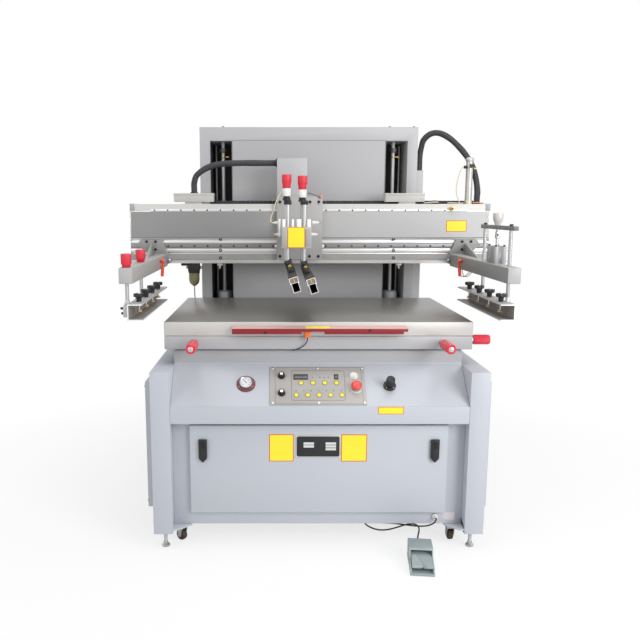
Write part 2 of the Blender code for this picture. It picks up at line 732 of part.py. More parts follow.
def controls():
    """The control panel with its buttons and dials, the gauge and the pressure regulator."""
    panel_base = SEAT_GAP
    panel_top = panel_base + PANEL_THICKNESS
    panel = box("control_panel", (PANEL_LEFT_X, PANEL_RIGHT_X), (PANEL_FOOT, PANEL_HEAD), (panel_base, panel_top),
                aluminium())
    moved(panel, ON_SLOPE)
    collar = slope_turned("stop_collar_tool", STOP_PLACE, panel_base,
                          disc(STOP_COLLAR_RADIUS, 0.001, PANEL_THICKNESS + STOP_COLLAR_HEIGHT), 24, aluminium())
    bezel = slope_turned("start_bezel_tool", START_PLACE, panel_base,
                         disc(START_BEZEL_RADIUS, 0.001, PANEL_THICKNESS + START_BEZEL_HEIGHT), 24, aluminium())
    stop_hole = slope_turned("stop_hole_tool", STOP_PLACE, -0.002, disc(STOP_STEM_RADIUS + BUTTON_FIT, 0, 0.030), 20,
                             aluminium())
    start_hole = slope_turned("start_hole_tool", START_PLACE, -0.002, disc(START_RADIUS + BUTTON_FIT, 0, 0.030), 20,
                              aluminium())
    fuse(panel, collar, bezel)
    cut(panel, stop_hole, start_hole)

    stem_base = 0.0015 + STOP_TRAVEL
    head_base = panel_top + STOP_COLLAR_HEIGHT + STOP_TRAVEL + 0.0005
    stop = slope_turned("e_stop_button", STOP_PLACE, 0, [
        (0, stem_base), (STOP_STEM_RADIUS, stem_base), (STOP_STEM_RADIUS, head_base), (STOP_HEAD_RADIUS, head_base),
        (STOP_HEAD_RADIUS, head_base + STOP_HEAD_HEIGHT * 0.5), (STOP_HEAD_RADIUS * 0.75, head_base + STOP_HEAD_HEIGHT),
        (0, head_base + STOP_HEAD_HEIGHT)], 24, red())
    set_origin(stop, slope_point(STOP_PLACE, 0))

    start_base = 0.0005 + START_TRAVEL
    start_top = panel_top + START_BEZEL_HEIGHT + START_PROUD
    start = slope_turned("start_button", START_PLACE, 0, disc(START_RADIUS, start_base, start_top), 20,
                         material("ivory_plastic", (0.80, 0.78, 0.62), 0.35, 0.0))
    set_origin(start, slope_point(START_PLACE, 0))

    dial_base = panel_top + SEAT_GAP
    for name, up in (("timer_dial_upper", DIAL_HIGH), ("timer_dial_lower", DIAL_LOW)):
        dial = slope_turned(name, (DIAL_X, up), dial_base, [
            (0, 0), (DIAL_RADIUS, 0), (DIAL_RADIUS * 0.92, DIAL_HEIGHT), (0, DIAL_HEIGHT)], 20, black())
        set_origin(dial, slope_point((DIAL_X, up), 0))

    slope_turned("pressure_gauge", GAUGE_PLACE, SEAT_GAP, [
        (0, 0), (GAUGE_FLANGE_RADIUS, 0), (GAUGE_FLANGE_RADIUS, GAUGE_FLANGE_HEIGHT),
        (GAUGE_BODY_RADIUS, GAUGE_FLANGE_HEIGHT), (GAUGE_BODY_RADIUS, GAUGE_BODY_HEIGHT),
        (GAUGE_BODY_RADIUS - 0.003, GAUGE_BODY_HEIGHT), (GAUGE_BODY_RADIUS - 0.004, GAUGE_BODY_HEIGHT - 0.003),
        (0, GAUGE_BODY_HEIGHT - 0.003)], 32, chrome())

    neck_top = REGULATOR_FLANGE_HEIGHT + REGULATOR_NECK_HEIGHT
    slope_turned("regulator_body", REGULATOR_PLACE, SEAT_GAP, [
        (0, 0), (REGULATOR_FLANGE_RADIUS, 0), (REGULATOR_FLANGE_RADIUS, REGULATOR_FLANGE_HEIGHT),
        (REGULATOR_NECK_RADIUS, REGULATOR_FLANGE_HEIGHT), (REGULATOR_NECK_RADIUS, neck_top), (0, neck_top)], 24,
        paint())
    knob_base = neck_top + 2 * SEAT_GAP
    knob = slope_turned("regulator_knob", REGULATOR_PLACE, knob_base, [
        (0, 0), (REGULATOR_KNOB_RADIUS, 0), (REGULATOR_KNOB_RADIUS, REGULATOR_KNOB_HEIGHT * 0.85),
        (REGULATOR_KNOB_RADIUS * 0.8, REGULATOR_KNOB_HEIGHT), (0, REGULATOR_KNOB_HEIGHT)], 20, black())
    set_origin(knob, slope_point(REGULATOR_PLACE, 0))


controls()


def column():
    """The lift column, wider below the deck, with a deep slot for each guide rod."""
    step = FRAME_TOP_Z
    outline = [
        (-BODY_HALF_WIDTH, CABINET_BOTTOM_Z), (BODY_HALF_WIDTH, CABINET_BOTTOM_Z), (BODY_HALF_WIDTH, step),
        (COLUMN_HALF_WIDTH, step), (COLUMN_HALF_WIDTH, COLUMN_TOP_Z), (-COLUMN_HALF_WIDTH, COLUMN_TOP_Z),
        (-COLUMN_HALF_WIDTH, step), (-BODY_HALF_WIDTH, step),
    ]
    housing = prism("column_housing", outline, "Y", (COLUMN_FRONT_Y, FRAME_REAR_Y), paint())
    duct = box("duct_tool", (COLUMN_HALF_WIDTH - 0.010, COLUMN_HALF_WIDTH + DUCT_WIDTH), (DUCT_FRONT_Y, DUCT_REAR_Y),
               (DUCT_BOTTOM_Z, DUCT_TOP_Z), paint())
    slots = []
    for side in (-1, 1):
        slots.append(box("slot_tool_{}".format(side), mirrored(side, (SLOT_INNER_X, SLOT_OUTER_X)),
                         (COLUMN_FRONT_Y - 0.010, COLUMN_FRONT_Y + SLOT_DEPTH), (SLOT_BOTTOM_Z, SLOT_TOP_Z), paint()))
    fuse(housing, duct)
    cut(housing, *slots)
    clamp_top = SLOT_TOP_Z - ROD_CLAMP_TOP_DROP
    for name, side in (("guide_rod_left", -1), ("guide_rod_right", 1)):
        low = SLOT_BOTTOM_Z + SEAT_GAP
        high = SLOT_TOP_Z - SEAT_GAP
        guide = turned(name, [
            (0, low), (ROD_RADIUS, low), (ROD_RADIUS, clamp_top - ROD_CLAMP_HEIGHT),
            (ROD_CLAMP_RADIUS, clamp_top - ROD_CLAMP_HEIGHT), (ROD_CLAMP_RADIUS, clamp_top), (ROD_RADIUS, clamp_top),
            (ROD_RADIUS, high), (0, high)], 24, chrome())
        moved(guide, Matrix.Translation((side * ROD_X, ROD_Y, 0)))


column()


def adjuster(name, base, direction, shaft, length):
    """A table adjusting knob on its shaft: a chamfered hexagonal grip."""
    start = Vector(base)
    profile = [
        (0, 0), (ADJUSTER_SHAFT_RADIUS, 0), (ADJUSTER_SHAFT_RADIUS, shaft),
        (ADJUSTER_RADIUS * 0.8, shaft), (ADJUSTER_RADIUS, shaft + 0.004),
        (ADJUSTER_RADIUS, length - 0.006), (ADJUSTER_RADIUS * 0.72, length), (0, length)]
    knob = turned(name, profile, 12, red())
    turn = Vector((0, 0, 1)).rotation_difference(Vector(direction))
    moved(knob, Matrix.Translation(start) @ turn.to_matrix().to_4x4())
    return set_origin(knob, start)


def table():
    """The tray, the printing bed on it, the three adjusting knobs and the safety bar."""
    tray_top = TRAY_BOTTOM_Z + TRAY_THICKNESS
    tray = box("table_tray", (-TABLE_HALF_WIDTH, TABLE_HALF_WIDTH), (TABLE_FRONT_Y, TABLE_REAR_Y),
               (TRAY_BOTTOM_Z, tray_top), paint())
    bevel(tray, TABLE_EDGE_BEVEL, 2)
    bed = box("table_top", (-TABLE_HALF_WIDTH, TABLE_HALF_WIDTH), (TABLE_FRONT_Y, TABLE_REAR_Y),
              (tray_top + SEAT_GAP, TABLE_TOP_Z), aluminium())
    bevel(bed, TABLE_EDGE_BEVEL, 2)
    front = TABLE_FRONT_Y - SEAT_GAP
    adjuster("adjuster_left", (ADJUSTER_LEFT_X, front, ADJUSTER_FRONT_Z), (0, -1, 0), ADJUSTER_SHAFT_LENGTH,
             ADJUSTER_LENGTH)
    adjuster("adjuster_right", (ADJUSTER_RIGHT_X, front, ADJUSTER_FRONT_Z), (0, -1, 0), ADJUSTER_SHAFT_LENGTH,
             ADJUSTER_LENGTH)
    adjuster("adjuster_side", (TABLE_HALF_WIDTH + SEAT_GAP, ADJUSTER_SIDE_Y, ADJUSTER_SIDE_Z), (1, 0, 0),
             ADJUSTER_SIDE_SHAFT_LENGTH, ADJUSTER_SIDE_LENGTH)
    nose = front - SAFETY_BAR_REACH
    under = SAFETY_BAR_NOSE_TOP_Z - SAFETY_BAR_PLATE
    bar = prism("safety_bar", [(front, SAFETY_BAR_BACK_Z), (nose, SAFETY_BAR_NOSE_TOP_Z), (nose, under), (front, under)],
                "X", (SAFETY_BAR_LEFT_X, SAFETY_BAR_RIGHT_X), red())
    lips = []
    for span in ((SAFETY_BAR_LEFT_X, SAFETY_BAR_LIP_GAP_X[0]),
                 (SAFETY_BAR_LIP_GAP_X[1], SAFETY_BAR_RIGHT_X - SAFETY_BAR_LIP_SHORT)):
        lips.append(box("safety_bar_lip_tool_{:.3f}".format(span[0]), span,
                        (nose + SAFETY_BAR_LIP_SETBACK, nose + SAFETY_BAR_LIP), (SAFETY_BAR_NOSE_BOTTOM_Z, under + 0.002),
                        red()))
    fuse(bar, *lips)


table()

BEAM_REAR_Y = BEAM_FRONT_Y + BEAM_DEPTH


def groove_steps(bottom, top, depth):
    """The four corners of a groove, going up the beam's front."""
    return [(BEAM_FRONT_Y, bottom), (BEAM_FRONT_Y + depth, bottom), (BEAM_FRONT_Y + depth, top), (BEAM_FRONT_Y, top)]


def beam():
    """The head beam, an aluminium extrusion with a rail let in, a proud cover and a bottom lip."""
    lip_y = BEAM_FRONT_Y - LIP_PROUD
    cover_y = BEAM_FRONT_Y - COVER_PROUD
    rail_bottom = RAIL_BOTTOM_Z - SEAT_GAP
    rail_top = RAIL_TOP_Z + SEAT_GAP
    outline = [(BEAM_REAR_Y, BEAM_BOTTOM_Z), (BEAM_FRONT_Y, BEAM_BOTTOM_Z)]
    outline += groove_steps(*LOWER_GROOVE_Z, GROOVE_DEPTH)
    outline += groove_steps(rail_bottom, rail_top, RAIL_DEPTH + SEAT_GAP)
    outline += groove_steps(*UPPER_GROOVE_Z, GROOVE_DEPTH)
    outline += [(BEAM_FRONT_Y, COVER_BOTTOM_Z), (cover_y, COVER_BOTTOM_Z), (cover_y, COVER_TOP_Z),
                (BEAM_FRONT_Y, COVER_TOP_Z), (BEAM_FRONT_Y, BEAM_TOP_Z), (BEAM_REAR_Y, BEAM_TOP_Z)]
    prism("beam", outline, "X", (-BEAM_HALF_LENGTH, BEAM_HALF_LENGTH), aluminium())
    box("linear_rail", (-BEAM_HALF_LENGTH, BEAM_HALF_LENGTH), (BEAM_FRONT_Y, BEAM_FRONT_Y + RAIL_DEPTH),
        (RAIL_BOTTOM_Z, RAIL_TOP_Z), chrome())
    for name, side in (("lift_block_left", -1), ("lift_block_right", 1)):
        x = side * ROD_X
        half = LIFT_BLOCK_WIDTH / 2
        inner = half - LIFT_BLOCK_CHEEK
        throat = ROD_Y - ROD_RADIUS - ROD_CLEARANCE
        back = ROD_Y + LIFT_BLOCK_REACH
        near = BEAM_REAR_Y + SEAT_GAP
        outline = [(x - half, near), (x + half, near), (x + half, back), (x + inner, back), (x + inner, throat),
                   (x - inner, throat), (x - inner, back), (x - half, back)]
        prism(name, outline, "Z", (LIFT_BLOCK_BOTTOM_Z, LIFT_BLOCK_TOP_Z), material("cast_grey", (0.4, 0.42, 0.45), 0.5, 0.4))
    deck = BEAM_TOP_Z + SEAT_GAP
    near = BEAM_FRONT_Y + HOSE_BOX_SETBACK
    for name, span in (("hose_box_left", HOSE_BOX_LEFT), ("hose_box_right", HOSE_BOX_RIGHT)):
        bevel(box(name, span, (near, near + HOSE_BOX_DEPTH), (deck, HOSE_BOX_TOP_Z), paint()), HOSE_BOX_BEVEL, 2)
    cap = RAM_RADIUS + RAM_CAP_EXTRA
    ram = turned("air_ram", [
        (0, deck), (cap, deck), (cap, deck + RAM_CAP_HEIGHT), (RAM_RADIUS, deck + RAM_CAP_HEIGHT),
        (RAM_RADIUS, RAM_TOP_Z - RAM_CAP_HEIGHT), (cap, RAM_TOP_Z - RAM_CAP_HEIGHT), (cap, RAM_TOP_Z), (0, RAM_TOP_Z)],
        24, aluminium())
    moved(ram, Matrix.Translation((RAM_X, BEAM_FRONT_Y + BEAM_DEPTH / 2, 0)))
    top = BEAM_BOTTOM_Z - SEAT_GAP
    cup = turned("air_filter", [
        (0, FILTER_BOTTOM_Z), (FILTER_RADIUS * 0.35, FILTER_BOTTOM_Z), (FILTER_RADIUS, FILTER_BOTTOM_Z + 0.016),
        (FILTER_RADIUS, FILTER_HEAD_Z + 0.004), (0, FILTER_HEAD_Z + 0.004)], 24,
        material("bronze_cup", BRONZE, 0.35, 0.2))
    moved(cup, Matrix.Translation((FILTER_X, FILTER_Y, 0)))
    head = box("filter_head_tool", (FILTER_X - FILTER_HEAD_HALF, FILTER_X + FILTER_HEAD_HALF),
               (FILTER_Y - FILTER_HEAD_HALF, FILTER_Y + FILTER_HEAD_HALF), (FILTER_HEAD_Z, top), black())
    fuse(cup, head)


beam()


def carriage():
    """The squeegee carriage on the beam's rail, its riser, the cantilever and the lift case."""
    back = CARRIAGE_FRONT_Y + CARRIAGE_THICKNESS
    plate = box("carriage_plate", (CARRIAGE_LEFT_X, CARRIAGE_RIGHT_X), (CARRIAGE_FRONT_Y, back),
                (CARRIAGE_BOTTOM_Z, CARRIAGE_TOP_Z), paint())
    runner = box("runner_tool", (CARRIAGE_LEFT_X + 0.020, CARRIAGE_RIGHT_X - 0.020),
                 (back - 0.004, BEAM_FRONT_Y - SLIDE_GAP), (RUNNER_BOTTOM_Z, RUNNER_TOP_Z), paint())
    fuse(plate, runner)
    riser_front = back + SEAT_GAP
    bevel(box("riser_box", (CARRIAGE_LEFT_X, RISER_RIGHT_X), (riser_front, riser_front + RISER_DEPTH),
              (RISER_BOTTOM_Z, RISER_TOP_Z), paint()), 0.003, 2)
    case_rear = LIFT_CASE_FRONT_Y + LIFT_CASE_DEPTH
    box("cantilever", (CANTILEVER_LEFT_X, CANTILEVER_RIGHT_X), seated(case_rear, CARRIAGE_FRONT_Y),
        (CANTILEVER_BOTTOM_Z, CANTILEVER_TOP_Z), paint())
    case = box("lift_case", (LIFT_CASE_LEFT_X, LIFT_CASE_RIGHT_X), (LIFT_CASE_FRONT_Y, case_rear),
               (LIFT_CASE_BOTTOM_Z, LIFT_CASE_TOP_Z), paint())
    bores = []
    for x in (FLOOD_X, SQUEEGEE_X):
        for y in (GUIDE_FRONT_Y, GUIDE_REAR_Y):
            bores.append(rod("case_bore_tool_{:.3f}_{:.3f}".format(x, y), (x, y, LIFT_CASE_BOTTOM_Z - 0.010),
                             (x, y, LIFT_CASE_TOP_Z + 0.010), GUIDE_RADIUS + SLIDE_GAP, 16, paint()))
    cut(case, *bores)


carriage()


def bar_lift(name, x, pivot):
    """The moving part of one lift: two guide rods, the bridge and knob on top and the yoke below."""
    bridge_bottom = GUIDE_TOP_Z - GUIDE_BRIDGE_HEIGHT
    front = GUIDE_FRONT_Y - GUIDE_RADIUS - 0.004
    rear = GUIDE_REAR_Y + GUIDE_RADIUS + 0.004
    lift = box(name, (x - GUIDE_BRIDGE_WIDTH / 2, x + GUIDE_BRIDGE_WIDTH / 2), (front, rear),
               (bridge_bottom, GUIDE_TOP_Z), chrome())
    front_rod = rod(name + "_rod_front_tool", (x, GUIDE_FRONT_Y, YOKE_TOP_Z - 0.006),
                    (x, GUIDE_FRONT_Y, GUIDE_TOP_Z - 0.004), GUIDE_RADIUS, 16, chrome())
    rear_rod = rod(name + "_rod_rear_tool", (x, GUIDE_REAR_Y, YOKE_TOP_Z - 0.006),
                   (x, GUIDE_REAR_Y, GUIDE_TOP_Z - 0.004), GUIDE_RADIUS, 16, chrome())
    grip = PRESS_KNOB_RADIUS * 0.72
    waist = PRESS_KNOB_BOTTOM_Z + 0.018
    knob = turned(name + "_knob_tool", [
        (0, GUIDE_TOP_Z - 0.003), (KNOB_COLLAR_RADIUS, GUIDE_TOP_Z - 0.003),
        (KNOB_COLLAR_RADIUS, PRESS_KNOB_BOTTOM_Z), (grip, PRESS_KNOB_BOTTOM_Z), (grip, waist),
        (PRESS_KNOB_RADIUS, waist + 0.006), (PRESS_KNOB_RADIUS, PRESS_KNOB_TOP_Z - 0.004),
        (PRESS_KNOB_RADIUS * 0.85, PRESS_KNOB_TOP_Z), (0, PRESS_KNOB_TOP_Z)], 24, red())
    moved(knob, Matrix.Translation((x + PRESS_KNOB_OFFSET, GUIDE_FRONT_Y, 0)))
    yoke_left = min(x - YOKE_LEFT_OF_ROD, pivot[0] - YOKE_LEFT_OF_PIN)
    yoke_bottom = pivot[1] - YOKE_UNDER_PIN
    yoke = box(name + "_yoke_tool", (yoke_left, pivot[0] + YOKE_RIGHT_OF_PIN), (YOKE_FRONT_Y, YOKE_REAR_Y),
               (yoke_bottom, YOKE_TOP_Z), black())
    middle = (YOKE_FRONT_Y + YOKE_REAR_Y) / 2
    slot = box(name + "_slot_tool", (x - 0.060, x + 0.060),
               (middle - YOKE_SLOT / 2, middle + YOKE_SLOT / 2), (yoke_bottom - 0.010, YOKE_TOP_Z - 0.012), black())
    pin = rod(name + "_pin_tool", (pivot[0], middle - YOKE_SLOT / 2 - 0.001, pivot[1]),
              (pivot[0], middle + YOKE_SLOT / 2 + 0.001, pivot[1]), PIN_RADIUS, 12, chrome())
    fuse(lift, front_rod, rear_rod, knob, yoke)
    cut(lift, slot)
    fuse(lift, pin)


def bar_holder(name, pivot, lean):
    """A blade holder: a channel over a hollow tube, hung from a lug that tilts on the yoke's pin."""
    half_tongue = YOKE_SLOT / 2 - SLIDE_GAP * 2
    centre_y = (YOKE_FRONT_Y + YOKE_REAR_Y) / 2
    top = -CHANNEL_TOP_DROP - CLEAR_UNDER_YOKE
    lug_half = HOLDER_TONGUE_WIDTH / 2
    arc = [(lug_half * math.cos(t), lug_half * math.sin(t)) for t in
           (math.pi * i / 8 for i in range(9))]
    lug_outline = arc + [(-lug_half, top - 0.002), (lug_half, top - 0.002)]
    holder = prism(name, lug_outline, "Y", (-half_tongue, half_tongue), aluminium())
    pin_hole = rod(name + "_hole_tool", (0, -0.050, 0), (0, 0.050, 0), PIN_RADIUS + SLIDE_GAP, 12, aluminium())
    w = CHANNEL_WIDTH / 2
    wall = CHANNEL_WALL
    low = top - CHANNEL_HEIGHT
    channel_outline = [(-w, low), (-w, top), (w, top), (w, low), (w - wall, low), (w - wall, top - wall),
                       (-w + wall, top - wall), (-w + wall, low)]
    channel = prism(name + "_channel_tool", channel_outline, "Y", (-BLADE_HALF_LENGTH, BLADE_HALF_LENGTH),
                    aluminium())
    t = w - wall + TUBE_OVERLAP
    tube_top = top - TUBE_TOP_DROP
    tube_bottom = tube_top - TUBE_HEIGHT
    tube = box(name + "_tube_tool", (-t, t), (-BLADE_HALF_LENGTH, BLADE_HALF_LENGTH), (tube_bottom, tube_top),
               aluminium())
    hollow = box(name + "_hollow_tool", (-t + TUBE_WALL, t - TUBE_WALL),
                 (-BLADE_HALF_LENGTH - 0.010, -TUBE_END_WEB), (tube_bottom + TUBE_WALL, tube_top - TUBE_WALL),
                 aluminium())
    far_hollow = box(name + "_far_hollow_tool", (-t + TUBE_WALL, t - TUBE_WALL),
                     (TUBE_END_WEB, BLADE_HALF_LENGTH + 0.010), (tube_bottom + TUBE_WALL, tube_top - TUBE_WALL),
                     aluminium())
    web = box(name + "_web_tool", (-t, t), (-TUBE_END_WEB, TUBE_END_WEB), (tube_top - 0.001, top - wall + 0.001),
              aluminium())
    place = Matrix.Translation((pivot[0], centre_y, pivot[1])) @ Matrix.Rotation(math.radians(-lean), 4, "Y")
    shift = Matrix.Translation((0, BLADE_CENTRE_Y - centre_y, 0))
    for piece in (channel, tube, web, hollow, far_hollow):
        moved(piece, place @ shift)
    moved(pin_hole, place)
    moved(holder, place)
    set_origin(holder, (pivot[0], centre_y, pivot[1]))
    fuse(holder, channel, tube, web)
    cut(holder, hollow, far_hollow, pin_hole)


bar_lift("flood_lift", FLOOD_X, FLOOD_PIVOT)
bar_lift("squeegee_lift", SQUEEGEE_X, SQUEEGEE_PIVOT)
bar_holder("flood_bar", FLOOD_PIVOT, FLOOD_LEAN)
bar_holder("squeegee", SQUEEGEE_PIVOT, SQUEEGEE_LEAN)


def arm_centre(side):
    """Where an arm's box runs; the right one stands a little inward of its hanger rods."""
    return side * ARM_X + (ARM_RIGHT_SHIFT if side > 0 else 0.0)


def arm_bores(name, x, ys, top, finish):
    bores = []
    for y in ys:
        bores.append(rod("{}_bore_tool_{:.3f}".format(name, y), (x, y, ARM_BOTTOM_Z - 0.010), (x, y, top),
                         HANGER_RADIUS + SLIDE_GAP, 16, finish))
    return bores


def screen_arm(name, side):
    """A box-section arm with its six-sided beam plate and the gusset between them."""
    plate_back = BEAM_FRONT_Y - SEAT_GAP
    plate_front = plate_back - ARM_PLATE_THICKNESS
    x = arm_centre(side)
    half = ARM_WIDTH / 2
    arm = box(name, (x - half, x + half), (ARM_FRONT_Y, plate_front + 0.002), (ARM_BOTTOM_Z, ARM_TOP_Z), paint())
    outline = [(x + side * out, ARM_BOTTOM_Z + up) for out, up in ARM_PLATE_OUTLINE]
    plate = prism(name + "_plate_tool", outline, "Y", (plate_front, plate_back), paint())
    near_out, far_out = ARM_GUSSET_OUT
    fall = (ARM_GUSSET_TOP_Z - ARM_TOP_Z) / ARM_GUSSET_RUN
    gusset_outline = [(0.004, ARM_TOP_Z - 0.006), (0.004, ARM_GUSSET_TOP_Z + 0.004 * fall),
                      (-ARM_GUSSET_RUN, ARM_TOP_Z), (-ARM_GUSSET_RUN, ARM_TOP_Z - 0.006)]
    gusset = prism(name + "_gusset_tool", gusset_outline, "X",
                   (-ARM_GUSSET_THICKNESS / 2, ARM_GUSSET_THICKNESS / 2), paint())
    toe_in = side * math.atan2(near_out - far_out, ARM_GUSSET_RUN)
    moved(gusset, Matrix.Translation((x + side * near_out, plate_front, 0)) @ Matrix.Rotation(-toe_in, 4, "Z"))
    fuse(arm, plate, gusset)
    return arm, side * ARM_X


def screen_clamp(name, side):
    """The channel that grips the screen frame, with four screws, their pads and star knobs."""
    inner, outer = CLAMP_INNER_X, CLAMP_OUTER_X
    wall = CLAMP_WALL
    outline = [(inner, CLAMP_BOTTOM_Z), (outer, CLAMP_BOTTOM_Z), (outer, CLAMP_TOP_Z), (inner, CLAMP_TOP_Z),
               (inner, CLAMP_TOP_Z - wall), (outer - wall, CLAMP_TOP_Z - wall),
               (outer - wall, CLAMP_BOTTOM_Z + wall), (inner, CLAMP_BOTTOM_Z + wall)]
    rail = prism(name, [(side * a, b) for a, b in outline], "Y", (CLAMP_FRONT_Y, CLAMP_FRONT_Y + CLAMP_LENGTH), paint())
    x = side * STAR_KNOB_X
    tools = []
    for y in STAR_KNOB_YS:
        screw = turned("{}_screw_tool_{:.3f}".format(name, y), [
            (0, STAR_PAD_Z[0]), (STAR_PAD_RADIUS, STAR_PAD_Z[0]), (STAR_PAD_RADIUS, STAR_PAD_Z[1]),
            (STAR_SCREW_RADIUS, STAR_PAD_Z[1]), (STAR_SCREW_RADIUS, STAR_KNOB_Z[0]),
            (STAR_KNOB_RADIUS, STAR_KNOB_Z[0]), (STAR_KNOB_RADIUS, STAR_KNOB_Z[1]), (0, STAR_KNOB_Z[1])], 12, black())
        tools.append(moved(screw, Matrix.Translation((x, y, 0))))
    return rail, tools


def hangers(name, side, ys, top, finish):
    """The rods that hang a clamp from its arm, each with its block on the clamp's outer side."""
    x = side * ARM_X
    tools = []
    for y in ys:
        tools.append(box("{}_block_tool_{:.3f}".format(name, y),
                         mirrored(side, (CLAMP_OUTER_X - 0.003, HANGER_BLOCK_OUTER_X)),
                         (y - HANGER_BLOCK_HALF, y + HANGER_BLOCK_HALF), HANGER_BLOCK_Z, finish))
        tools.append(rod("{}_hanger_tool_{:.3f}".format(name, y), (x, y, HANGER_BLOCK_Z[1] - 0.010), (x, y, top),
                         HANGER_RADIUS, 16, finish))
    return tools


def left_side():
    arm, x = screen_arm("arm_left", -1)
    knobs = []
    for y in LEFT_HANGER_YS:
        knob = turned("left_knob_tool_{:.3f}".format(y), [
            (0, ARM_TOP_Z - 0.003), (LEFT_KNOB_RADIUS * 0.7, ARM_TOP_Z - 0.003),
            (LEFT_KNOB_RADIUS * 0.7, ARM_TOP_Z + 0.012), (LEFT_KNOB_RADIUS, ARM_TOP_Z + 0.018),
            (LEFT_KNOB_RADIUS, LEFT_KNOB_TOP_Z - 0.004), (LEFT_KNOB_RADIUS * 0.85, LEFT_KNOB_TOP_Z),
            (0, LEFT_KNOB_TOP_Z)], 20, red())
        knobs.append(moved(knob, Matrix.Translation((x, y, 0))))
    fuse(arm, *knobs)
    cut(arm, *arm_bores("arm_left", x, LEFT_HANGER_YS, LEFT_KNOB_TOP_Z - 0.010, paint()))
    clamp, tools = screen_clamp("clamp_left", -1)
    fuse(clamp, *tools, *hangers("clamp_left", -1, LEFT_HANGER_YS, LEFT_HANGER_TOP_Z, chrome()))


def right_side():
    """The right clamp peels off: an air cylinder on the arm lifts it by the crossbar."""
    arm, x = screen_arm("arm_right", 1)
    case = box("peel_case_tool", (x - PEEL_CASE_HALF_WIDTH, x + PEEL_CASE_HALF_WIDTH), PEEL_CASE_Y,
               (ARM_TOP_Z - 0.003, PEEL_CASE_TOP_Z), paint())
    middle = (PEEL_CASE_Y[0] + PEEL_CASE_Y[1]) / 2
    piston_bore = rod("peel_bore_tool", (x, middle, ARM_TOP_Z + 0.002), (x, middle, PEEL_CASE_TOP_Z + 0.010),
                      PEEL_ROD_RADIUS + SLIDE_GAP, 16, paint())
    fuse(arm, case)
    cut(arm, piston_bore, *arm_bores("arm_right", x, RIGHT_HANGER_YS, ARM_TOP_Z + 0.010, paint()))
    clamp, tools = screen_clamp("clamp_right", 1)
    crossbar = box("crossbar_tool", (x - CROSSBAR_HALF_WIDTH, x + CROSSBAR_HALF_WIDTH), CROSSBAR_Y, CROSSBAR_Z,
                   black())
    piston = rod("piston_tool", (x, middle, PEEL_ROD_BOTTOM_Z), (x, middle, CROSSBAR_Z[0] + 0.004),
                 PEEL_ROD_RADIUS, 16, chrome())
    cup = turned("peel_knob_tool", [
        (0, CROSSBAR_Z[1] - 0.003), (PEEL_KNOB_RADIUS * 0.6, CROSSBAR_Z[1] - 0.003),
        (PEEL_KNOB_RADIUS * 0.6, PEEL_KNOB_Z[0] + 0.014), (PEEL_KNOB_RADIUS, PEEL_KNOB_Z[0] + 0.018),
        (PEEL_KNOB_RADIUS, PEEL_KNOB_Z[1]), (0, PEEL_KNOB_Z[1])], 20, chrome())
    moved(cup, Matrix.Translation((x, middle, 0)))
    rods = hangers("clamp_right", 1, RIGHT_HANGER_YS, CROSSBAR_Z[0] + 0.004, chrome())
    fuse(clamp, *tools, *rods, crossbar, piston, cup)


left_side()
right_side()


def clamp_lever(name, side):
    """The cast handle that locks the arm, on the arm's inner side."""
    face = abs(arm_centre(side)) - ARM_WIDTH / 2 - SEAT_GAP
    span = mirrored(side, (face - LEVER_THICKNESS, face))
    start = (span[0], LEVER_Y, LEVER_Z)
    end = (span[1], LEVER_Y, LEVER_Z)
    lever = rod(name, start, end, LEVER_HUB_RADIUS, 20, material("orange_plastic", ORANGE, 0.4, 0.0))
    half = LEVER_HUB_RADIUS * 0.62
    outline = [(LEVER_Y - half, LEVER_Z), (LEVER_Y - half * 1.3, LEVER_Z - LEVER_LENGTH),
               (LEVER_Y, LEVER_Z - LEVER_LENGTH - 0.004), (LEVER_Y + half * 1.3, LEVER_Z - LEVER_LENGTH),
               (LEVER_Y + half, LEVER_Z)]
    grip = prism(name + "_grip_tool", outline, "X", (span[0] + 0.001, span[1] - 0.001), red())
    set_origin(lever, ((span[0] + span[1]) / 2, LEVER_Y, LEVER_Z))
    fuse(lever, grip)


clamp_lever("lever_left", -1)
clamp_lever("lever_right", 1)


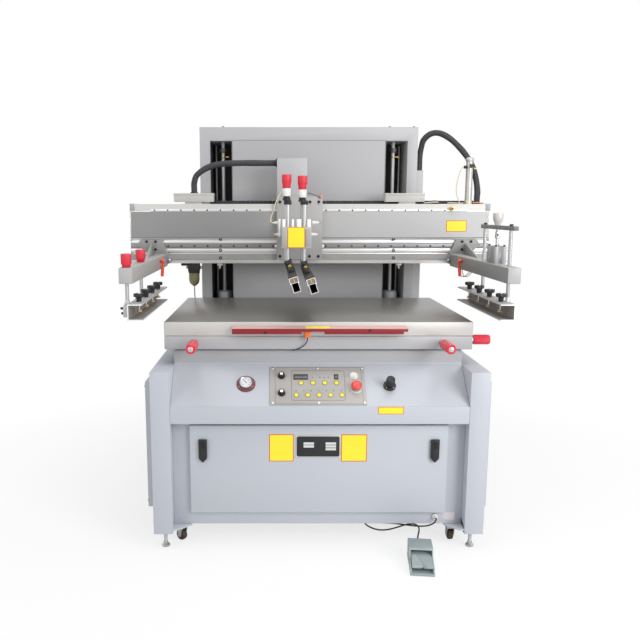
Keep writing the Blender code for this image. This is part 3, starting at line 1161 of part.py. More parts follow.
def pedal():
    """The guarded foot switch: a cast tray with a hood, and the treadle pinned in its cheeks."""
    left, right = PEDAL_LEFT_X, PEDAL_RIGHT_X
    front, rear = PEDAL_FRONT_Y, PEDAL_REAR_Y
    side_outline = [
        (front, 0), (rear, 0), (rear, PEDAL_HOOD_TOP_Z), (PEDAL_HOOD_FRONT_Y, PEDAL_HOOD_TOP_Z),
        (PEDAL_HOOD_FRONT_Y - 0.018, PEDAL_SIDE_HEIGHT), (front + 0.008, PEDAL_BASE_HEIGHT + 0.012),
        (front, PEDAL_BASE_HEIGHT + 0.006)]
    finish = material("pedal_enamel", PEDAL_GREY, 0.5, 0.2)
    base = prism("pedal_base", side_outline, "X", (left, right), finish)
    room_outline = [
        (front - 0.010, PEDAL_BASE_HEIGHT), (rear - PEDAL_REAR_WALL, PEDAL_BASE_HEIGHT),
        (rear - PEDAL_REAR_WALL, PEDAL_HOOD_TOP_Z - PEDAL_HOOD_THICKNESS),
        (front - 0.010, PEDAL_HOOD_TOP_Z - PEDAL_HOOD_THICKNESS)]
    room = prism("pedal_room_tool", room_outline, "X", (left + PEDAL_SIDE, right - PEDAL_SIDE), finish)
    pedal_turn = (Matrix.Translation((LEAD_PEDAL_X, rear + RELIEF_LENGTH, 0))
                  @ Matrix.Rotation(math.radians(PEDAL_YAW), 4, "Z")
                  @ Matrix.Translation((-LEAD_PEDAL_X, -rear - RELIEF_LENGTH, 0)))
    boss = rod("pedal_relief_tool", (LEAD_PEDAL_X, rear - 0.004, LEAD_PEDAL_Z),
               (LEAD_PEDAL_X, rear + RELIEF_LENGTH, LEAD_PEDAL_Z), RELIEF_RADIUS, 16, finish)
    pin = rod("treadle_pin_tool", (left + 0.001, TREADLE_PIVOT_Y, TREADLE_PIVOT_Z),
              (right - 0.001, TREADLE_PIVOT_Y, TREADLE_PIVOT_Z), TREADLE_PIVOT_RADIUS, 12, finish)
    for piece in (base, room, boss, pin):
        moved(piece, pedal_turn)
    cut(base, room)
    fuse(base, boss, pin)
    gap = PEDAL_SIDE + TREADLE_SIDE_GAP
    z = TREADLE_PIVOT_Z
    half = TREADLE_THICKNESS / 2
    hub = TREADLE_PIVOT_RADIUS + 0.004
    hub_arc = [(TREADLE_PIVOT_Y + hub * math.sin(t), z - hub * math.cos(t)) for t in
               (math.pi * i / 8 for i in range(9))]
    outline = [(TREADLE_FRONT_Y, TREADLE_FRONT_Z - half), (TREADLE_PIVOT_Y - hub, z - half)] + hub_arc
    outline += [(TREADLE_PIVOT_Y - hub, z + half), (TREADLE_FRONT_Y, TREADLE_FRONT_Z + half)]
    treadle = prism("pedal_treadle", outline, "X", (left + gap, right - gap), finish)
    hole = rod("treadle_hole_tool", (left - 0.010, TREADLE_PIVOT_Y, z), (right + 0.010, TREADLE_PIVOT_Y, z),
               TREADLE_PIVOT_RADIUS + SLIDE_GAP, 12, finish)
    moved(treadle, pedal_turn)
    moved(hole, pedal_turn)
    set_origin(treadle, pedal_turn @ Vector(((left + right) / 2, TREADLE_PIVOT_Y, z)))
    cut(treadle, hole)


pedal()


def gland():
    """The plastic gland on the cabinet's bottom rail, where the pedal's lead comes out."""
    profile = [(0, 0), (GLAND_RADIUS, 0), (GLAND_RADIUS, 0.006), (GLAND_RADIUS * 0.65, 0.008),
               (LEAD_RADIUS * 1.5, GLAND_LENGTH), (0, GLAND_LENGTH)]
    nut = turned("lead_gland", profile, 16, material("white_plastic", (0.8, 0.8, 0.8), 0.4, 0.0))
    turn = Vector((0, 0, 1)).rotation_difference(Vector((0, -1, 0)))
    moved(nut, Matrix.Translation((LEAD_EXIT_X, CABINET_FRONT_Y - SEAT_GAP, LEAD_EXIT_Z)) @ turn.to_matrix().to_4x4())


gland()


def smooth_points(route, spacing):
    """Reads evenly spaced points from the smooth curve through the route's points."""
    points = [Vector(p) for p in route]
    fine = []
    for i in range(len(points) - 1):
        before = points[max(i - 1, 0)]
        after = points[min(i + 2, len(points) - 1)]
        a, b = points[i], points[i + 1]
        for step in range(24):
            t = step / 24
            fine.append(0.5 * ((2 * a) + (b - before) * t + (2 * before - 5 * a + 4 * b - after) * t * t
                               + (3 * a - before - 3 * b + after) * t ** 3))
    fine.append(points[-1])
    total = sum((b - a).length for a, b in zip(fine, fine[1:]))
    count = max(2, round(total / spacing))
    out = [fine[0]]
    walked = 0.0
    for a, b in zip(fine, fine[1:]):
        length = (b - a).length
        while len(out) < count and walked + length >= len(out) * total / count:
            share = (len(out) * total / count - walked) / length
            out.append(a.lerp(b, share))
        walked += length
    out.append(fine[-1])
    return out


def tube_along(name, route, radius, spacing, resolution, finish):
    """A round tube whose first and last legs are straight and the rest a smooth curve."""
    curve = bpy.data.curves.new(name, "CURVE")
    curve.dimensions = "3D"
    curve.bevel_depth = radius
    curve.bevel_resolution = resolution
    curve.use_fill_caps = True
    points = [Vector(route[0])] + smooth_points(route[1:-1], spacing) + [Vector(route[-1])]
    spline = curve.splines.new("POLY")
    spline.points.add(len(points) - 1)
    for slot, point in zip(spline.points, points):
        slot.co = (*point, 1.0)
    line = bpy.data.objects.new(name, curve)
    line.data.materials.append(finish)
    bpy.context.scene.collection.objects.link(line)
    return line


LEAD_START_Y = CABINET_FRONT_Y - SEAT_GAP - GLAND_LENGTH - SEAT_GAP
LEAD_END_Y = PEDAL_REAR_Y + RELIEF_LENGTH + SEAT_GAP
ON_FLOOR = LEAD_RADIUS + SLIDE_GAP
LEAD_ROUTE = [
    (LEAD_EXIT_X, LEAD_START_Y, LEAD_EXIT_Z),
    (LEAD_EXIT_X, LEAD_START_Y - 0.007, LEAD_EXIT_Z),
    (LEAD_EXIT_X - 0.008, LEAD_START_Y - 0.020, 0.109),
    (LEAD_EXIT_X - 0.032, LEAD_START_Y - 0.020, 0.096),
    (LEAD_EXIT_X - 0.067, LEAD_START_Y - 0.004, 0.086),
    (LEAD_EXIT_X - 0.110, -0.560, 0.078),
    (LEAD_EXIT_X - 0.157, -0.520, 0.067),
    (LEAD_EXIT_X - 0.207, -0.470, 0.048),
    (LEAD_EXIT_X - 0.257, -0.415, 0.025),
    (LEAD_EXIT_X - 0.307, -0.362, 0.009),
    (0.105, -0.315, ON_FLOOR),
    (0.050, -0.265, ON_FLOOR),
    (0.005, -0.190, ON_FLOOR),
    (0.020, -0.105, ON_FLOOR),
    (0.095, -0.070, ON_FLOOR),
    (0.165, -0.110, ON_FLOOR),
    (0.190, -0.190, ON_FLOOR),
    (0.195, -0.270, ON_FLOOR),
    (0.203, -0.345, ON_FLOOR),
    (0.222, -0.405, ON_FLOOR),
    (0.258, -0.440, ON_FLOOR),
    (0.300, -0.438, ON_FLOOR),
    (0.345, -0.413, ON_FLOOR),
    (0.383, -0.389, ON_FLOOR),
    (0.412, -0.382, ON_FLOOR),
    (0.430, -0.400, ON_FLOOR),
    (0.428, -0.440, ON_FLOOR),
    (0.412, -0.500, ON_FLOOR),
    (0.396, -0.565, 0.006),
    (0.385, -0.620, 0.012),
    (LEAD_PEDAL_X, LEAD_END_Y + 0.008, LEAD_PEDAL_Z),
    (LEAD_PEDAL_X, LEAD_END_Y, LEAD_PEDAL_Z),
]
tube_along("pedal_lead", LEAD_ROUTE, LEAD_RADIUS, 0.026, 2, black())

RISER_FACE_X = CARRIAGE_LEFT_X - SEAT_GAP
HOSE_DECK_Z = HOSE_BOX_TOP_Z + SEAT_GAP
BEAM_HOSE_START_X = BEAM_HOSE_INSET - BEAM_HALF_LENGTH
BEAM_HOSE_RUN = RISER_FACE_X - BEAM_HOSE_START_X
# Each bend of the beam hose as its share of the run, its setback from the beam's front and its height
BEAM_HOSE_BENDS = [
    (0.0, 0.047, 1.415),
    (0.0, 0.047, 1.435),
    (0.025, 0.045, 1.468),
    (0.087, 0.041, 1.492),
    (0.192, 0.037, 1.514),
    (0.329, 0.033, 1.526),
    (0.553, 0.025, 1.5305),
    (0.802, 0.023, 1.5305),
    (0.901, 0.023, 1.5305),
]
BEAM_HOSE_ROUTE = [(BEAM_HOSE_START_X, BEAM_FRONT_Y + 0.047, HOSE_DECK_Z)]
for share, setback, bend_z in BEAM_HOSE_BENDS:
    BEAM_HOSE_ROUTE.append((BEAM_HOSE_START_X + share * BEAM_HOSE_RUN, BEAM_FRONT_Y + setback, bend_z))
BEAM_HOSE_ROUTE.append((RISER_FACE_X, *BEAM_HOSE_ROUTE[-1][1:]))
tube_along("beam_hose", BEAM_HOSE_ROUTE, HOSE_RADIUS - 0.001, 0.036, 3, black())

COLUMN_HOSE_START = (COLUMN_HALF_WIDTH + DUCT_WIDTH / 2, (DUCT_FRONT_Y + DUCT_REAR_Y) / 2, DUCT_TOP_Z + SEAT_GAP)
COLUMN_HOSE_END = (BEAM_HALF_LENGTH - COLUMN_HOSE_INSET, COLUMN_HOSE_END_Y, BEAM_TOP_Z + SEAT_GAP)
# Each bend of the column hose as its shares of the way across and forward, and its height over the duct
COLUMN_HOSE_BENDS = [
    (0.0, 0.0, 0.035),
    (0.0, 0.0, 0.070),
    (0.022, 0.041, 0.113),
    (0.055, 0.138, 0.150),
    (0.176, 0.262, 0.177),
    (0.330, 0.400, 0.177),
    (0.505, 0.524, 0.151),
    (0.659, 0.634, 0.112),
    (0.780, 0.731, 0.073),
    (0.890, 0.828, 0.025),
    (0.967, 0.938, -0.040),
    (1.0, 1.0, -0.100),
    (1.0, 1.0, -0.135),
]
COLUMN_HOSE_ROUTE = [COLUMN_HOSE_START]
for across, forward, rise in COLUMN_HOSE_BENDS:
    COLUMN_HOSE_ROUTE.append((COLUMN_HOSE_START[0] + across * (COLUMN_HOSE_END[0] - COLUMN_HOSE_START[0]),
                              COLUMN_HOSE_START[1] + forward * (COLUMN_HOSE_END[1] - COLUMN_HOSE_START[1]),
                              DUCT_TOP_Z + rise))
COLUMN_HOSE_ROUTE.append(COLUMN_HOSE_END)
tube_along("column_hose", COLUMN_HOSE_ROUTE, HOSE_RADIUS - 0.001, 0.036, 3, black())
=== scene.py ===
"""Flatbed screen printing machine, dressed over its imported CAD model.

X runs across the front, Y to the column at the back and Z up, all in metres.
"""

import json
import math

import bpy
from mathutils import Matrix, Vector


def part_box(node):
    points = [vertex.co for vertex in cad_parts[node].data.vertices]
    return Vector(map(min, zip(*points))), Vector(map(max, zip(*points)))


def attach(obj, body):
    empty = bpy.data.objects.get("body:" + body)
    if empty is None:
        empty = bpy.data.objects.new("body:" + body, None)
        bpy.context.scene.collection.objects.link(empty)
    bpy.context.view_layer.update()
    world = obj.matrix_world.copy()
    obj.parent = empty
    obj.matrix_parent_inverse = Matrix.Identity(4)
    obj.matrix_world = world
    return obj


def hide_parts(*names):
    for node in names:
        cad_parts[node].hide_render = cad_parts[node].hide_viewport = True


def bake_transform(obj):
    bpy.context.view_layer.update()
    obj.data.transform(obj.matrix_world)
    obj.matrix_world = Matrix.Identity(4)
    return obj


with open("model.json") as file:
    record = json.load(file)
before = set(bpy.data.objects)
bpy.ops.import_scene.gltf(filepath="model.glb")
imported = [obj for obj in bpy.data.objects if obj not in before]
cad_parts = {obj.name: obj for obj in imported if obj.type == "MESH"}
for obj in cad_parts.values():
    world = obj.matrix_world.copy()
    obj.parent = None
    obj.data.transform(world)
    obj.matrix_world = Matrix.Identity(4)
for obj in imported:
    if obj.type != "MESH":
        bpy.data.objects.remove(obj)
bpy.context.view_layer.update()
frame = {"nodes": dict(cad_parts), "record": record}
record = frame["record"]
body_of = {node: body for body, members in record["behaviour"]["bodies"].items() for node in members}

# The camera stands a little left of the machine's middle, 2.7 m in front of it and 1.3 m up, and
# looks down by ten degrees. The picture is a square of 640.
camera_data = bpy.data.cameras.new("camera")
camera_data.sensor_width = 36.0
camera_data.lens = 738 / 640 * 36
camera_data.shift_x = (320 - 275) / 640
camera_data.shift_y = (342 - 320) / 640
camera = bpy.data.objects.new("camera", camera_data)
camera.location = (-0.169, -3.315, 1.304)
camera.rotation_euler = (math.radians(90 - 10.07), 0, 0)
bpy.context.scene.collection.objects.link(camera)
bpy.context.scene.camera = camera

# The pedal's lead: a 6 mm rubber cable that leaves the gland on the cabinet's bottom rail, drops
# behind it to the floor, lies there in a loose double bend and comes forward into the pedal's relief.
LEAD_ROUTE = [(0.462, -0.5856, 0.116), (0.462, -0.5926, 0.116), (0.454, -0.6056, 0.109), (0.43, -0.6056, 0.096),
    (0.395, -0.5896, 0.086), (0.352, -0.56, 0.078), (0.305, -0.52, 0.067), (0.255, -0.47, 0.048),
    (0.205, -0.415, 0.025), (0.155, -0.362, 0.009), (0.105, -0.315, 0.0035), (0.05, -0.265, 0.0035),
    (0.005, -0.19, 0.0035), (0.02, -0.105, 0.0035), (0.095, -0.07, 0.0035), (0.165, -0.11, 0.0035),
    (0.19, -0.19, 0.0035), (0.195, -0.27, 0.0035), (0.203, -0.345, 0.0035), (0.222, -0.405, 0.0035),
    (0.258, -0.44, 0.0035), (0.3, -0.438, 0.0035), (0.345, -0.413, 0.0035), (0.383, -0.389, 0.0035),
    (0.412, -0.382, 0.0035), (0.43, -0.4, 0.0035), (0.428, -0.44, 0.0035), (0.412, -0.5, 0.0035),
    (0.396, -0.565, 0.006), (0.385, -0.62, 0.012), (0.383, -0.6417, 0.014), (0.383, -0.6497, 0.014)]
LEAD_RADIUS = 0.003


def linear(step):
    """One value of a paint card, in 255 steps, made linear."""
    share = step / 255
    return share / 12.92 if share <= 0.04045 else ((share + 0.055) / 1.055) ** 2.4


def filled(tree, node, values):
    """Sets each named input of a node to a value, or links another node's output to it."""
    for name, value in values.items():
        if isinstance(value, bpy.types.NodeSocket):
            tree.links.new(value, node.inputs[name])
        else:
            node.inputs[name].default_value = value
    return node


def added(tree, kind, values):
    """A new node in the tree with its inputs filled."""
    return filled(tree, tree.nodes.new(kind), values)


def mixed(tree, blend, factor, a, b):
    """Mixes two colours and returns the socket that gives the result."""
    mix = tree.nodes.new("ShaderNodeMix")
    mix.data_type = "RGBA"
    mix.blend_type = blend
    return filled(tree, mix, {"Factor": factor, "A": a, "B": b}).outputs["Result"]


def finish(name, paint, roughness, metallic=0, drift=0.05, drift_size=30, grain=400, stretch=(1, 1, 1), relief=0.05,
        coat=0, wear=0.06, shade_sweep=None):
    """A finish with a slow drift of tone over the piece and a fine grain in its gloss and relief.

    The paint is three values of 255. The last argument, three values (x, x, share), paints shade on it:
    it darkens the colour towards the first x, down to the share, as a satin sheet looks beside a dark room.
    """
    made = bpy.data.materials.new(name)
    made.use_nodes = True
    tree = made.node_tree
    place = tree.nodes.new("ShaderNodeTexCoord").outputs["Object"]
    turn = added(tree, "ShaderNodeMapping", {"Scale": stretch, "Vector": place})
    slow = added(tree, "ShaderNodeTexNoise", {"Scale": drift_size, "Detail": 4.0, "Vector": place})
    fine = added(tree, "ShaderNodeTexNoise", {"Scale": grain, "Detail": 3.0, "Vector": turn.outputs["Vector"]})
    dark, light = [(*[min(1.0, linear(step) * share) for step in paint], 1.0) for share in (1 - drift, 1 + drift)]
    tone = mixed(tree, "MIX", slow.outputs["Fac"], dark, light)
    tinted = mixed(tree, "MULTIPLY", wear, tone, fine.outputs["Color"])
    # Painted shade: the colour darkens smoothly towards the first x.
    if shade_sweep:
        split = added(tree, "ShaderNodeSeparateXYZ", {"Vector": place})
        fade = added(tree, "ShaderNodeMapRange", {"From Min": shade_sweep[0], "From Max": shade_sweep[1], "To Min": shade_sweep[2],
            "Value": split.outputs["X"]})
        fade.interpolation_type = "SMOOTHSTEP"
        tinted = mixed(tree, "MULTIPLY", 1.0, tinted, fade.outputs["Result"])
    gloss = added(tree, "ShaderNodeMapRange", {"To Min": max(0.03, roughness - 0.08),
        "To Max": min(1.0, roughness + 0.08), "Value": fine.outputs["Fac"]})
    shader = filled(tree, tree.nodes["Principled BSDF"], {"Metallic": metallic, "Coat Weight": coat,
        "Coat Roughness": 0.25, "Base Color": tinted, "Roughness": gloss.outputs["Result"]})
    if relief:
        bump = added(tree, "ShaderNodeBump", {"Strength": relief, "Distance": 0.0005,
            "Height": fine.outputs["Fac"]})
        filled(tree, shader, {"Normal": bump.outputs["Normal"]})
    return made


def smooth_line(route, step):
    """Points a step apart on the smooth curve through the route, with its end legs straight."""
    points = [Vector(point) for point in route]
    line = [points[0]]
    inner = points[1:-1]
    for i in range(len(inner) - 1):
        before, a = inner[max(i - 1, 0)], inner[i]
        b, after = inner[i + 1], inner[min(i + 2, len(inner) - 1)]
        count = max(1, round((b - a).length / step))
        for n in range(count):
            t = n / count
            line.append(0.5 * (2 * a + (b - before) * t + (2 * before - 5 * a + 4 * b - after) * t * t
                + (3 * a - before - 3 * b + after) * t ** 3))
    return line + [inner[-1], points[-1]]


def line_of(name, points, radius, sides=3, swell=None):
    """A round tube along the points; swell gives each point's share of the radius."""
    curve = bpy.data.curves.new(name, "CURVE")
    curve.dimensions = "3D"
    curve.bevel_depth = radius
    curve.bevel_resolution = sides
    curve.use_fill_caps = True
    spline = curve.splines.new("POLY")
    spline.points.add(len(points) - 1)
    for i, (stop, point) in enumerate(zip(spline.points, points)):
        stop.co = (*point, 1.0)
        stop.radius = swell(i) if swell else 1.0
    line = bpy.data.objects.new(name, curve)
    bpy.context.scene.collection.objects.link(line)
    return line


cable_rubber = finish("cable_rubber", (24, 24, 26), 0.55, drift=0.25, drift_size=40, grain=600, relief=0.15)
lead_line = smooth_line(LEAD_ROUTE, 0.012)
lead = line_of("pedal_cable", lead_line, LEAD_RADIUS)
lead.data.materials.append(cable_rubber)
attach(lead, "base")
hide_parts("pedal_lead")

# The studio: a white paper floor that keeps the machine's shadow, a white surround, and plain soft
# light from the front right, the front left and above.
bpy.ops.object.select_all(action="DESELECT")
bpy.ops.mesh.primitive_plane_add(size=24, location=(0, 2, 0))
floor = bpy.context.object
floor.name = "floor"
bpy.ops.object.transform_apply(location=True, rotation=False, scale=False)
paper = bpy.data.materials.new("floor_paper")
paper.use_nodes = True
tree = paper.node_tree
paper_shader = filled(tree, tree.nodes["Principled BSDF"], {"Base Color": (0.92, 0.92, 0.92, 1), "Roughness": 0.9,
    "Specular IOR Level": 0.1})
paper_glow = added(tree, "ShaderNodeEmission", {"Strength": 1.0})
paper_ray = tree.nodes.new("ShaderNodeLightPath")
paper_place = tree.nodes.new("ShaderNodeTexCoord")
paper_reach = added(tree, "ShaderNodeVectorMath", {0: paper_place.outputs["Object"]})
paper_reach.operation = "LENGTH"
paper_fade = added(tree, "ShaderNodeMapRange", {"From Min": 0.9, "From Max": 2.2, "To Min": 0.74, "To Max": 1.0,
    "Value": paper_reach.outputs["Value"]})
paper_share = added(tree, "ShaderNodeMath", {0: paper_ray.outputs["Is Camera Ray"],
    1: paper_fade.outputs["Result"]})
paper_share.operation = "MULTIPLY"
paper_mix = added(tree, "ShaderNodeMixShader", {"Fac": paper_share.outputs["Value"],
    1: paper_shader.outputs["BSDF"], 2: paper_glow.outputs["Emission"]})
filled(tree, tree.nodes["Material Output"], {"Surface": paper_mix.outputs["Shader"]})
floor.data.materials.append(paper)

world = bpy.data.worlds.new("surround")
bpy.context.scene.world = world
world.use_nodes = True
tree = world.node_tree
sky_ray = tree.nodes.new("ShaderNodeLightPath")
sky_seen = added(tree, "ShaderNodeMath", {0: sky_ray.outputs["Is Camera Ray"], 1: sky_ray.outputs["Is Glossy Ray"]})
sky_seen.operation = "MAXIMUM"
sky_strength = added(tree, "ShaderNodeMapRange", {"To Min": 0.55, "To Max": 1.0,
    "Value": sky_seen.outputs["Value"]})
filled(tree, tree.nodes["Background"], {"Color": (1, 1, 1, 1), "Strength": sky_strength.outputs["Result"]})
bpy.context.scene.view_settings.view_transform = "Standard"


def softbox(name, place, aim, size, power):
    """A rectangular area lamp that looks at its aim."""
    lamp_data = bpy.data.lights.new(name, "AREA")
    lamp_data.shape = "RECTANGLE"
    lamp_data.size, lamp_data.size_y = size
    lamp_data.energy = power
    lamp = bpy.data.objects.new(name, lamp_data)
    lamp.location = place
    lamp.rotation_euler = (Vector(aim) - Vector(place)).to_track_quat("-Z", "Y").to_euler()
    bpy.context.scene.collection.objects.link(lamp)


softbox("light_front_right", (2.8, -3.6, 2.3), (0, 0, 0.8), (2.2, 2.4), 120)
softbox("light_front_left", (-3.0, -3.2, 2.2), (0, 0, 0.9), (1.8, 2.2), 20)
softbox("light_top", (0.2, -0.9, 3.9), (0, 0, 0.8), (2.6, 2.0), 42)

# The two side frames: folded 3 mm sheet steel in light grey enamel with a proud cover on the outside.
# Levelling feet screw up into their ends, and a gusset inside each corner takes the caster.
enamel = finish("grey_enamel", (184, 188, 196), 0.42, drift=0.035, drift_size=2.2, grain=900, relief=0.12,
    coat=0.12, wear=0.05)
enamel_dark = finish("grey_enamel_dark", (160, 163, 168), 0.45, drift_size=3, grain=900, relief=0.12, wear=0.05)
brass = finish("brass", (196, 160, 84), 0.32, metallic=0.9, drift=0.1, drift_size=40)
zinc = finish("zinc_plate", (196, 196, 194), 0.3, metallic=0.9, drift=0.12, grain=500, relief=0.1)
black_oxide = finish("black_oxide", (26, 26, 28), 0.48, metallic=0.2, drift=0.2, drift_size=60, grain=700,
    relief=0.1)


def only(piece):
    """Selects one piece and nothing else."""
    bpy.ops.object.select_all(action="DESELECT")
    piece.select_set(True)
    bpy.context.view_layer.objects.active = piece


def placed(piece, matrix):
    """Sets a piece modelled at the origin by the matrix and keeps the place in its mesh."""
    only(piece)
    piece.matrix_world = matrix
    bpy.ops.object.transform_apply(location=True, rotation=True, scale=True)
    return piece


def rounded(piece, width, steps=2, angle=32):
    """Rounds the edges sharper than the angle and shades the piece smooth between them."""
    only(piece)
    if width:
        edge = piece.modifiers.new("edge", "BEVEL")
        edge.width = width
        edge.segments = steps
        edge.limit_method = "ANGLE"
        edge.angle_limit = math.radians(angle)
        bpy.ops.object.modifier_apply(modifier=edge.name)
    bpy.ops.object.shade_smooth_by_angle(angle=math.radians(38))
    return piece


def in_edit(piece, *steps):
    """Runs each step on the whole piece in edit mode."""
    only(piece)
    bpy.ops.object.mode_set(mode="EDIT")
    bpy.ops.mesh.select_all(action="SELECT")
    for step in steps:
        step()
    bpy.ops.object.mode_set(mode="OBJECT")
    return piece


def softened(node, material, width=0.0015, steps=2):
    """A copy of a CAD node with its loose triangles joined to clean faces and its edges rounded."""
    piece = bpy.data.objects.new(node + "_dressed", frame["nodes"][node].data.copy())
    bpy.context.scene.collection.objects.link(piece)
    only(piece)
    bpy.ops.mesh.customdata_custom_splitnormals_clear()
    in_edit(piece, lambda: bpy.ops.mesh.remove_doubles(threshold=0.00002),
        lambda: bpy.ops.mesh.dissolve_limited(angle_limit=math.radians(0.6)))
    rounded(piece, width, steps)
    piece.data.materials.clear()
    piece.data.materials.append(material)
    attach(piece, body_of[node])
    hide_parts(node)
    return piece


def block(name, x, y, z, edge=0.001, steps=2):
    """A block between two values on each axis, with rounded edges."""
    bpy.ops.object.select_all(action="DESELECT")
    centre = ((x[0] + x[1]) / 2, (y[0] + y[1]) / 2, (z[0] + z[1]) / 2)
    bpy.ops.mesh.primitive_cube_add(size=1, location=centre)
    piece = bpy.context.object
    piece.name = name
    piece.scale = (x[1] - x[0], y[1] - y[0], z[1] - z[0])
    bpy.ops.object.transform_apply(location=True, rotation=True, scale=True)
    return rounded(piece, edge, steps)


def profile(name, outline, axis, span, edge=0.001, steps=2):
    """An outline pulled along an axis: (y, z) along X, (x, z) along Y or (x, y) along Z."""
    at = {"X": lambda a, b, c: (c, a, b), "Y": lambda a, b, c: (a, c, b), "Z": lambda a, b, c: (a, b, c)}[axis]
    bpy.ops.object.select_all(action="DESELECT")
    bpy.ops.mesh.primitive_circle_add(vertices=len(outline), radius=1, fill_type="NGON", location=(0, 0, 0))
    piece = bpy.context.object
    piece.name = name
    for corner, (a, b) in zip(piece.data.vertices, outline):
        corner.co = at(a, b, span[0])
    step = at(0, 0, span[1] - span[0])
    in_edit(piece, lambda: bpy.ops.mesh.extrude_region_move(TRANSFORM_OT_translate={"value": step}),
        lambda: bpy.ops.mesh.select_all(action="SELECT"),
        lambda: bpy.ops.mesh.normals_make_consistent(inside=False))
    return rounded(piece, edge, steps)


FORWARD = (0, -1, 0)
UP = (0, 0, 1)


def stood(piece, foot, facing):
    """Stands a piece modelled upright at the origin on its foot, facing a way."""
    only(piece)
    piece.rotation_mode = "QUATERNION"
    piece.rotation_quaternion = Vector(UP).rotation_difference(Vector(facing))
    piece.location = foot
    bpy.ops.object.transform_apply(location=True, rotation=True, scale=True)
    return piece


def turned(name, outline, foot=(0, 0, 0), facing=UP, sides=28, edge=0):
    """Spins (radius, height) points round an axis and stands the piece on its foot, facing a way."""
    bpy.ops.object.select_all(action="DESELECT")
    bpy.ops.mesh.primitive_circle_add(vertices=len(outline), radius=1, fill_type="NOTHING", location=(0, 0, 0))
    piece = bpy.context.object
    piece.name = name
    for corner, (radius, height) in zip(piece.data.vertices, outline):
        corner.co = (radius, 0, height)
    last = len(outline) - 1
    bpy.ops.object.mode_set(mode="EDIT")
    bpy.ops.mesh.select_mode(type="EDGE")
    bpy.ops.object.mode_set(mode="OBJECT")
    for line in piece.data.edges:
        line.select = set(line.vertices) == {0, last}
    bpy.ops.object.mode_set(mode="EDIT")
    bpy.ops.mesh.delete(type="EDGE")
    bpy.ops.mesh.select_mode(type="VERT")
    bpy.ops.mesh.select_all(action="SELECT")
    bpy.ops.mesh.spin(steps=sides, angle=2 * math.pi, center=(0, 0, 0), axis=UP)
    bpy.ops.mesh.select_all(action="SELECT")
    bpy.ops.mesh.remove_doubles(threshold=0.00001)
    bpy.ops.mesh.normals_make_consistent(inside=False)
    bpy.ops.object.mode_set(mode="OBJECT")
    return rounded(stood(piece, foot, facing), edge)


def joined(name, pieces):
    """Makes several pieces one, each keeping its own finish."""
    only(pieces[0])
    for piece in pieces:
        piece.select_set(True)
    if len(pieces) > 1:
        bpy.ops.object.join()
    pieces[0].name = name
    return pieces[0]


def cut(piece, *tools):
    """Takes the tools' shapes out of a piece."""
    for tool in tools:
        only(piece)
        hole = piece.modifiers.new("hole", "BOOLEAN")
        hole.operation = "DIFFERENCE"
        hole.solver = "EXACT"
        hole.object = tool
        bpy.ops.object.modifier_apply(modifier=hole.name)
        bpy.data.objects.remove(tool)
    return piece


def repeated(name, piece, places):
    """Copies a piece to each place, each copy with its own mesh, and joins them."""
    copies = []
    for place in places:
        only(piece)
        bpy.ops.object.duplicate(linked=False)
        copy = bpy.context.object
        copy.location = place
        bpy.ops.object.transform_apply(location=True, rotation=False, scale=False)
        copies.append(copy)
    bpy.data.objects.remove(piece)
    return joined(name, copies)


def fitted(piece, body, material=None, nodes=()):
    """Gives a piece its finish, the body it rides on and the CAD nodes it stands for."""
    if material:
        piece.data.materials.clear()
        piece.data.materials.append(material)
    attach(piece, body)
    if nodes:
        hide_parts(*nodes)
    return piece


def arc(centre, radius, start, end, step):
    """Points round a centre from one angle to another, in whole degrees."""
    return [(centre[0] + radius * math.cos(math.radians(t)), centre[1] + radius * math.sin(math.radians(t)))
        for t in range(start, end + 1, step)]


def wire(name, route, step, radius, material, body):
    """A thin tube on the smooth curve through the route, riding on a body."""
    line = line_of(name, smooth_line(route, step), radius)
    line.data.materials.append(material)
    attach(line, body)


def repainted(piece, material, chosen):
    """Gives the faces that the rule picks a second finish."""
    piece.data.materials.append(material)
    for face in piece.data.polygons:
        if chosen(face):
            face.material_index = 1


def socket_screw(radius, height, facing):
    """A cap screw's head with its socket, standing on the origin."""
    return turned("screw", [(0, height * 0.35), (radius * 0.5, height * 0.35), (radius * 0.55, height),
        (radius * 0.86, height), (radius, height * 0.82), (radius, 0)], facing=facing, sides=16)


SIDES = (("left", -1), ("right", 1))
FEET_Y = (-0.58, 0.795)
for side, sign in SIDES:
    softened("frame_" + side, enamel, 0.0025)
    fitted(repeated("cover_screws_" + side, socket_screw(0.006, 0.004, (sign, 0, 0)),
        [(sign * 0.677, y, z) for y in (-0.49, 0.115, 0.72) for z in (0.155, 0.627)]), "base", black_oxide)
    fitted(repeated("foot_nuts_" + side, turned("nut", [(0.0072, 0), (0.0125, 0), (0.0125, 0.007), (0.0072, 0.007),
        (0.0072, 0)], sides=6, edge=0.0006), [(sign * 0.6, y, 0.0575) for y in FEET_Y]), "base", zinc)
    fitted(repeated("foot_pads_" + side, turned("pad", [(0, 0.0005), (0.015, 0.0005), (0.0158, 0.003),
        (0.0158, 0.008), (0.013, 0.0105), (0.009, 0.014), (0.009, 0.02), (0, 0.02)]),
        [(sign * 0.6, y, 0) for y in FEET_Y]), "base", zinc)

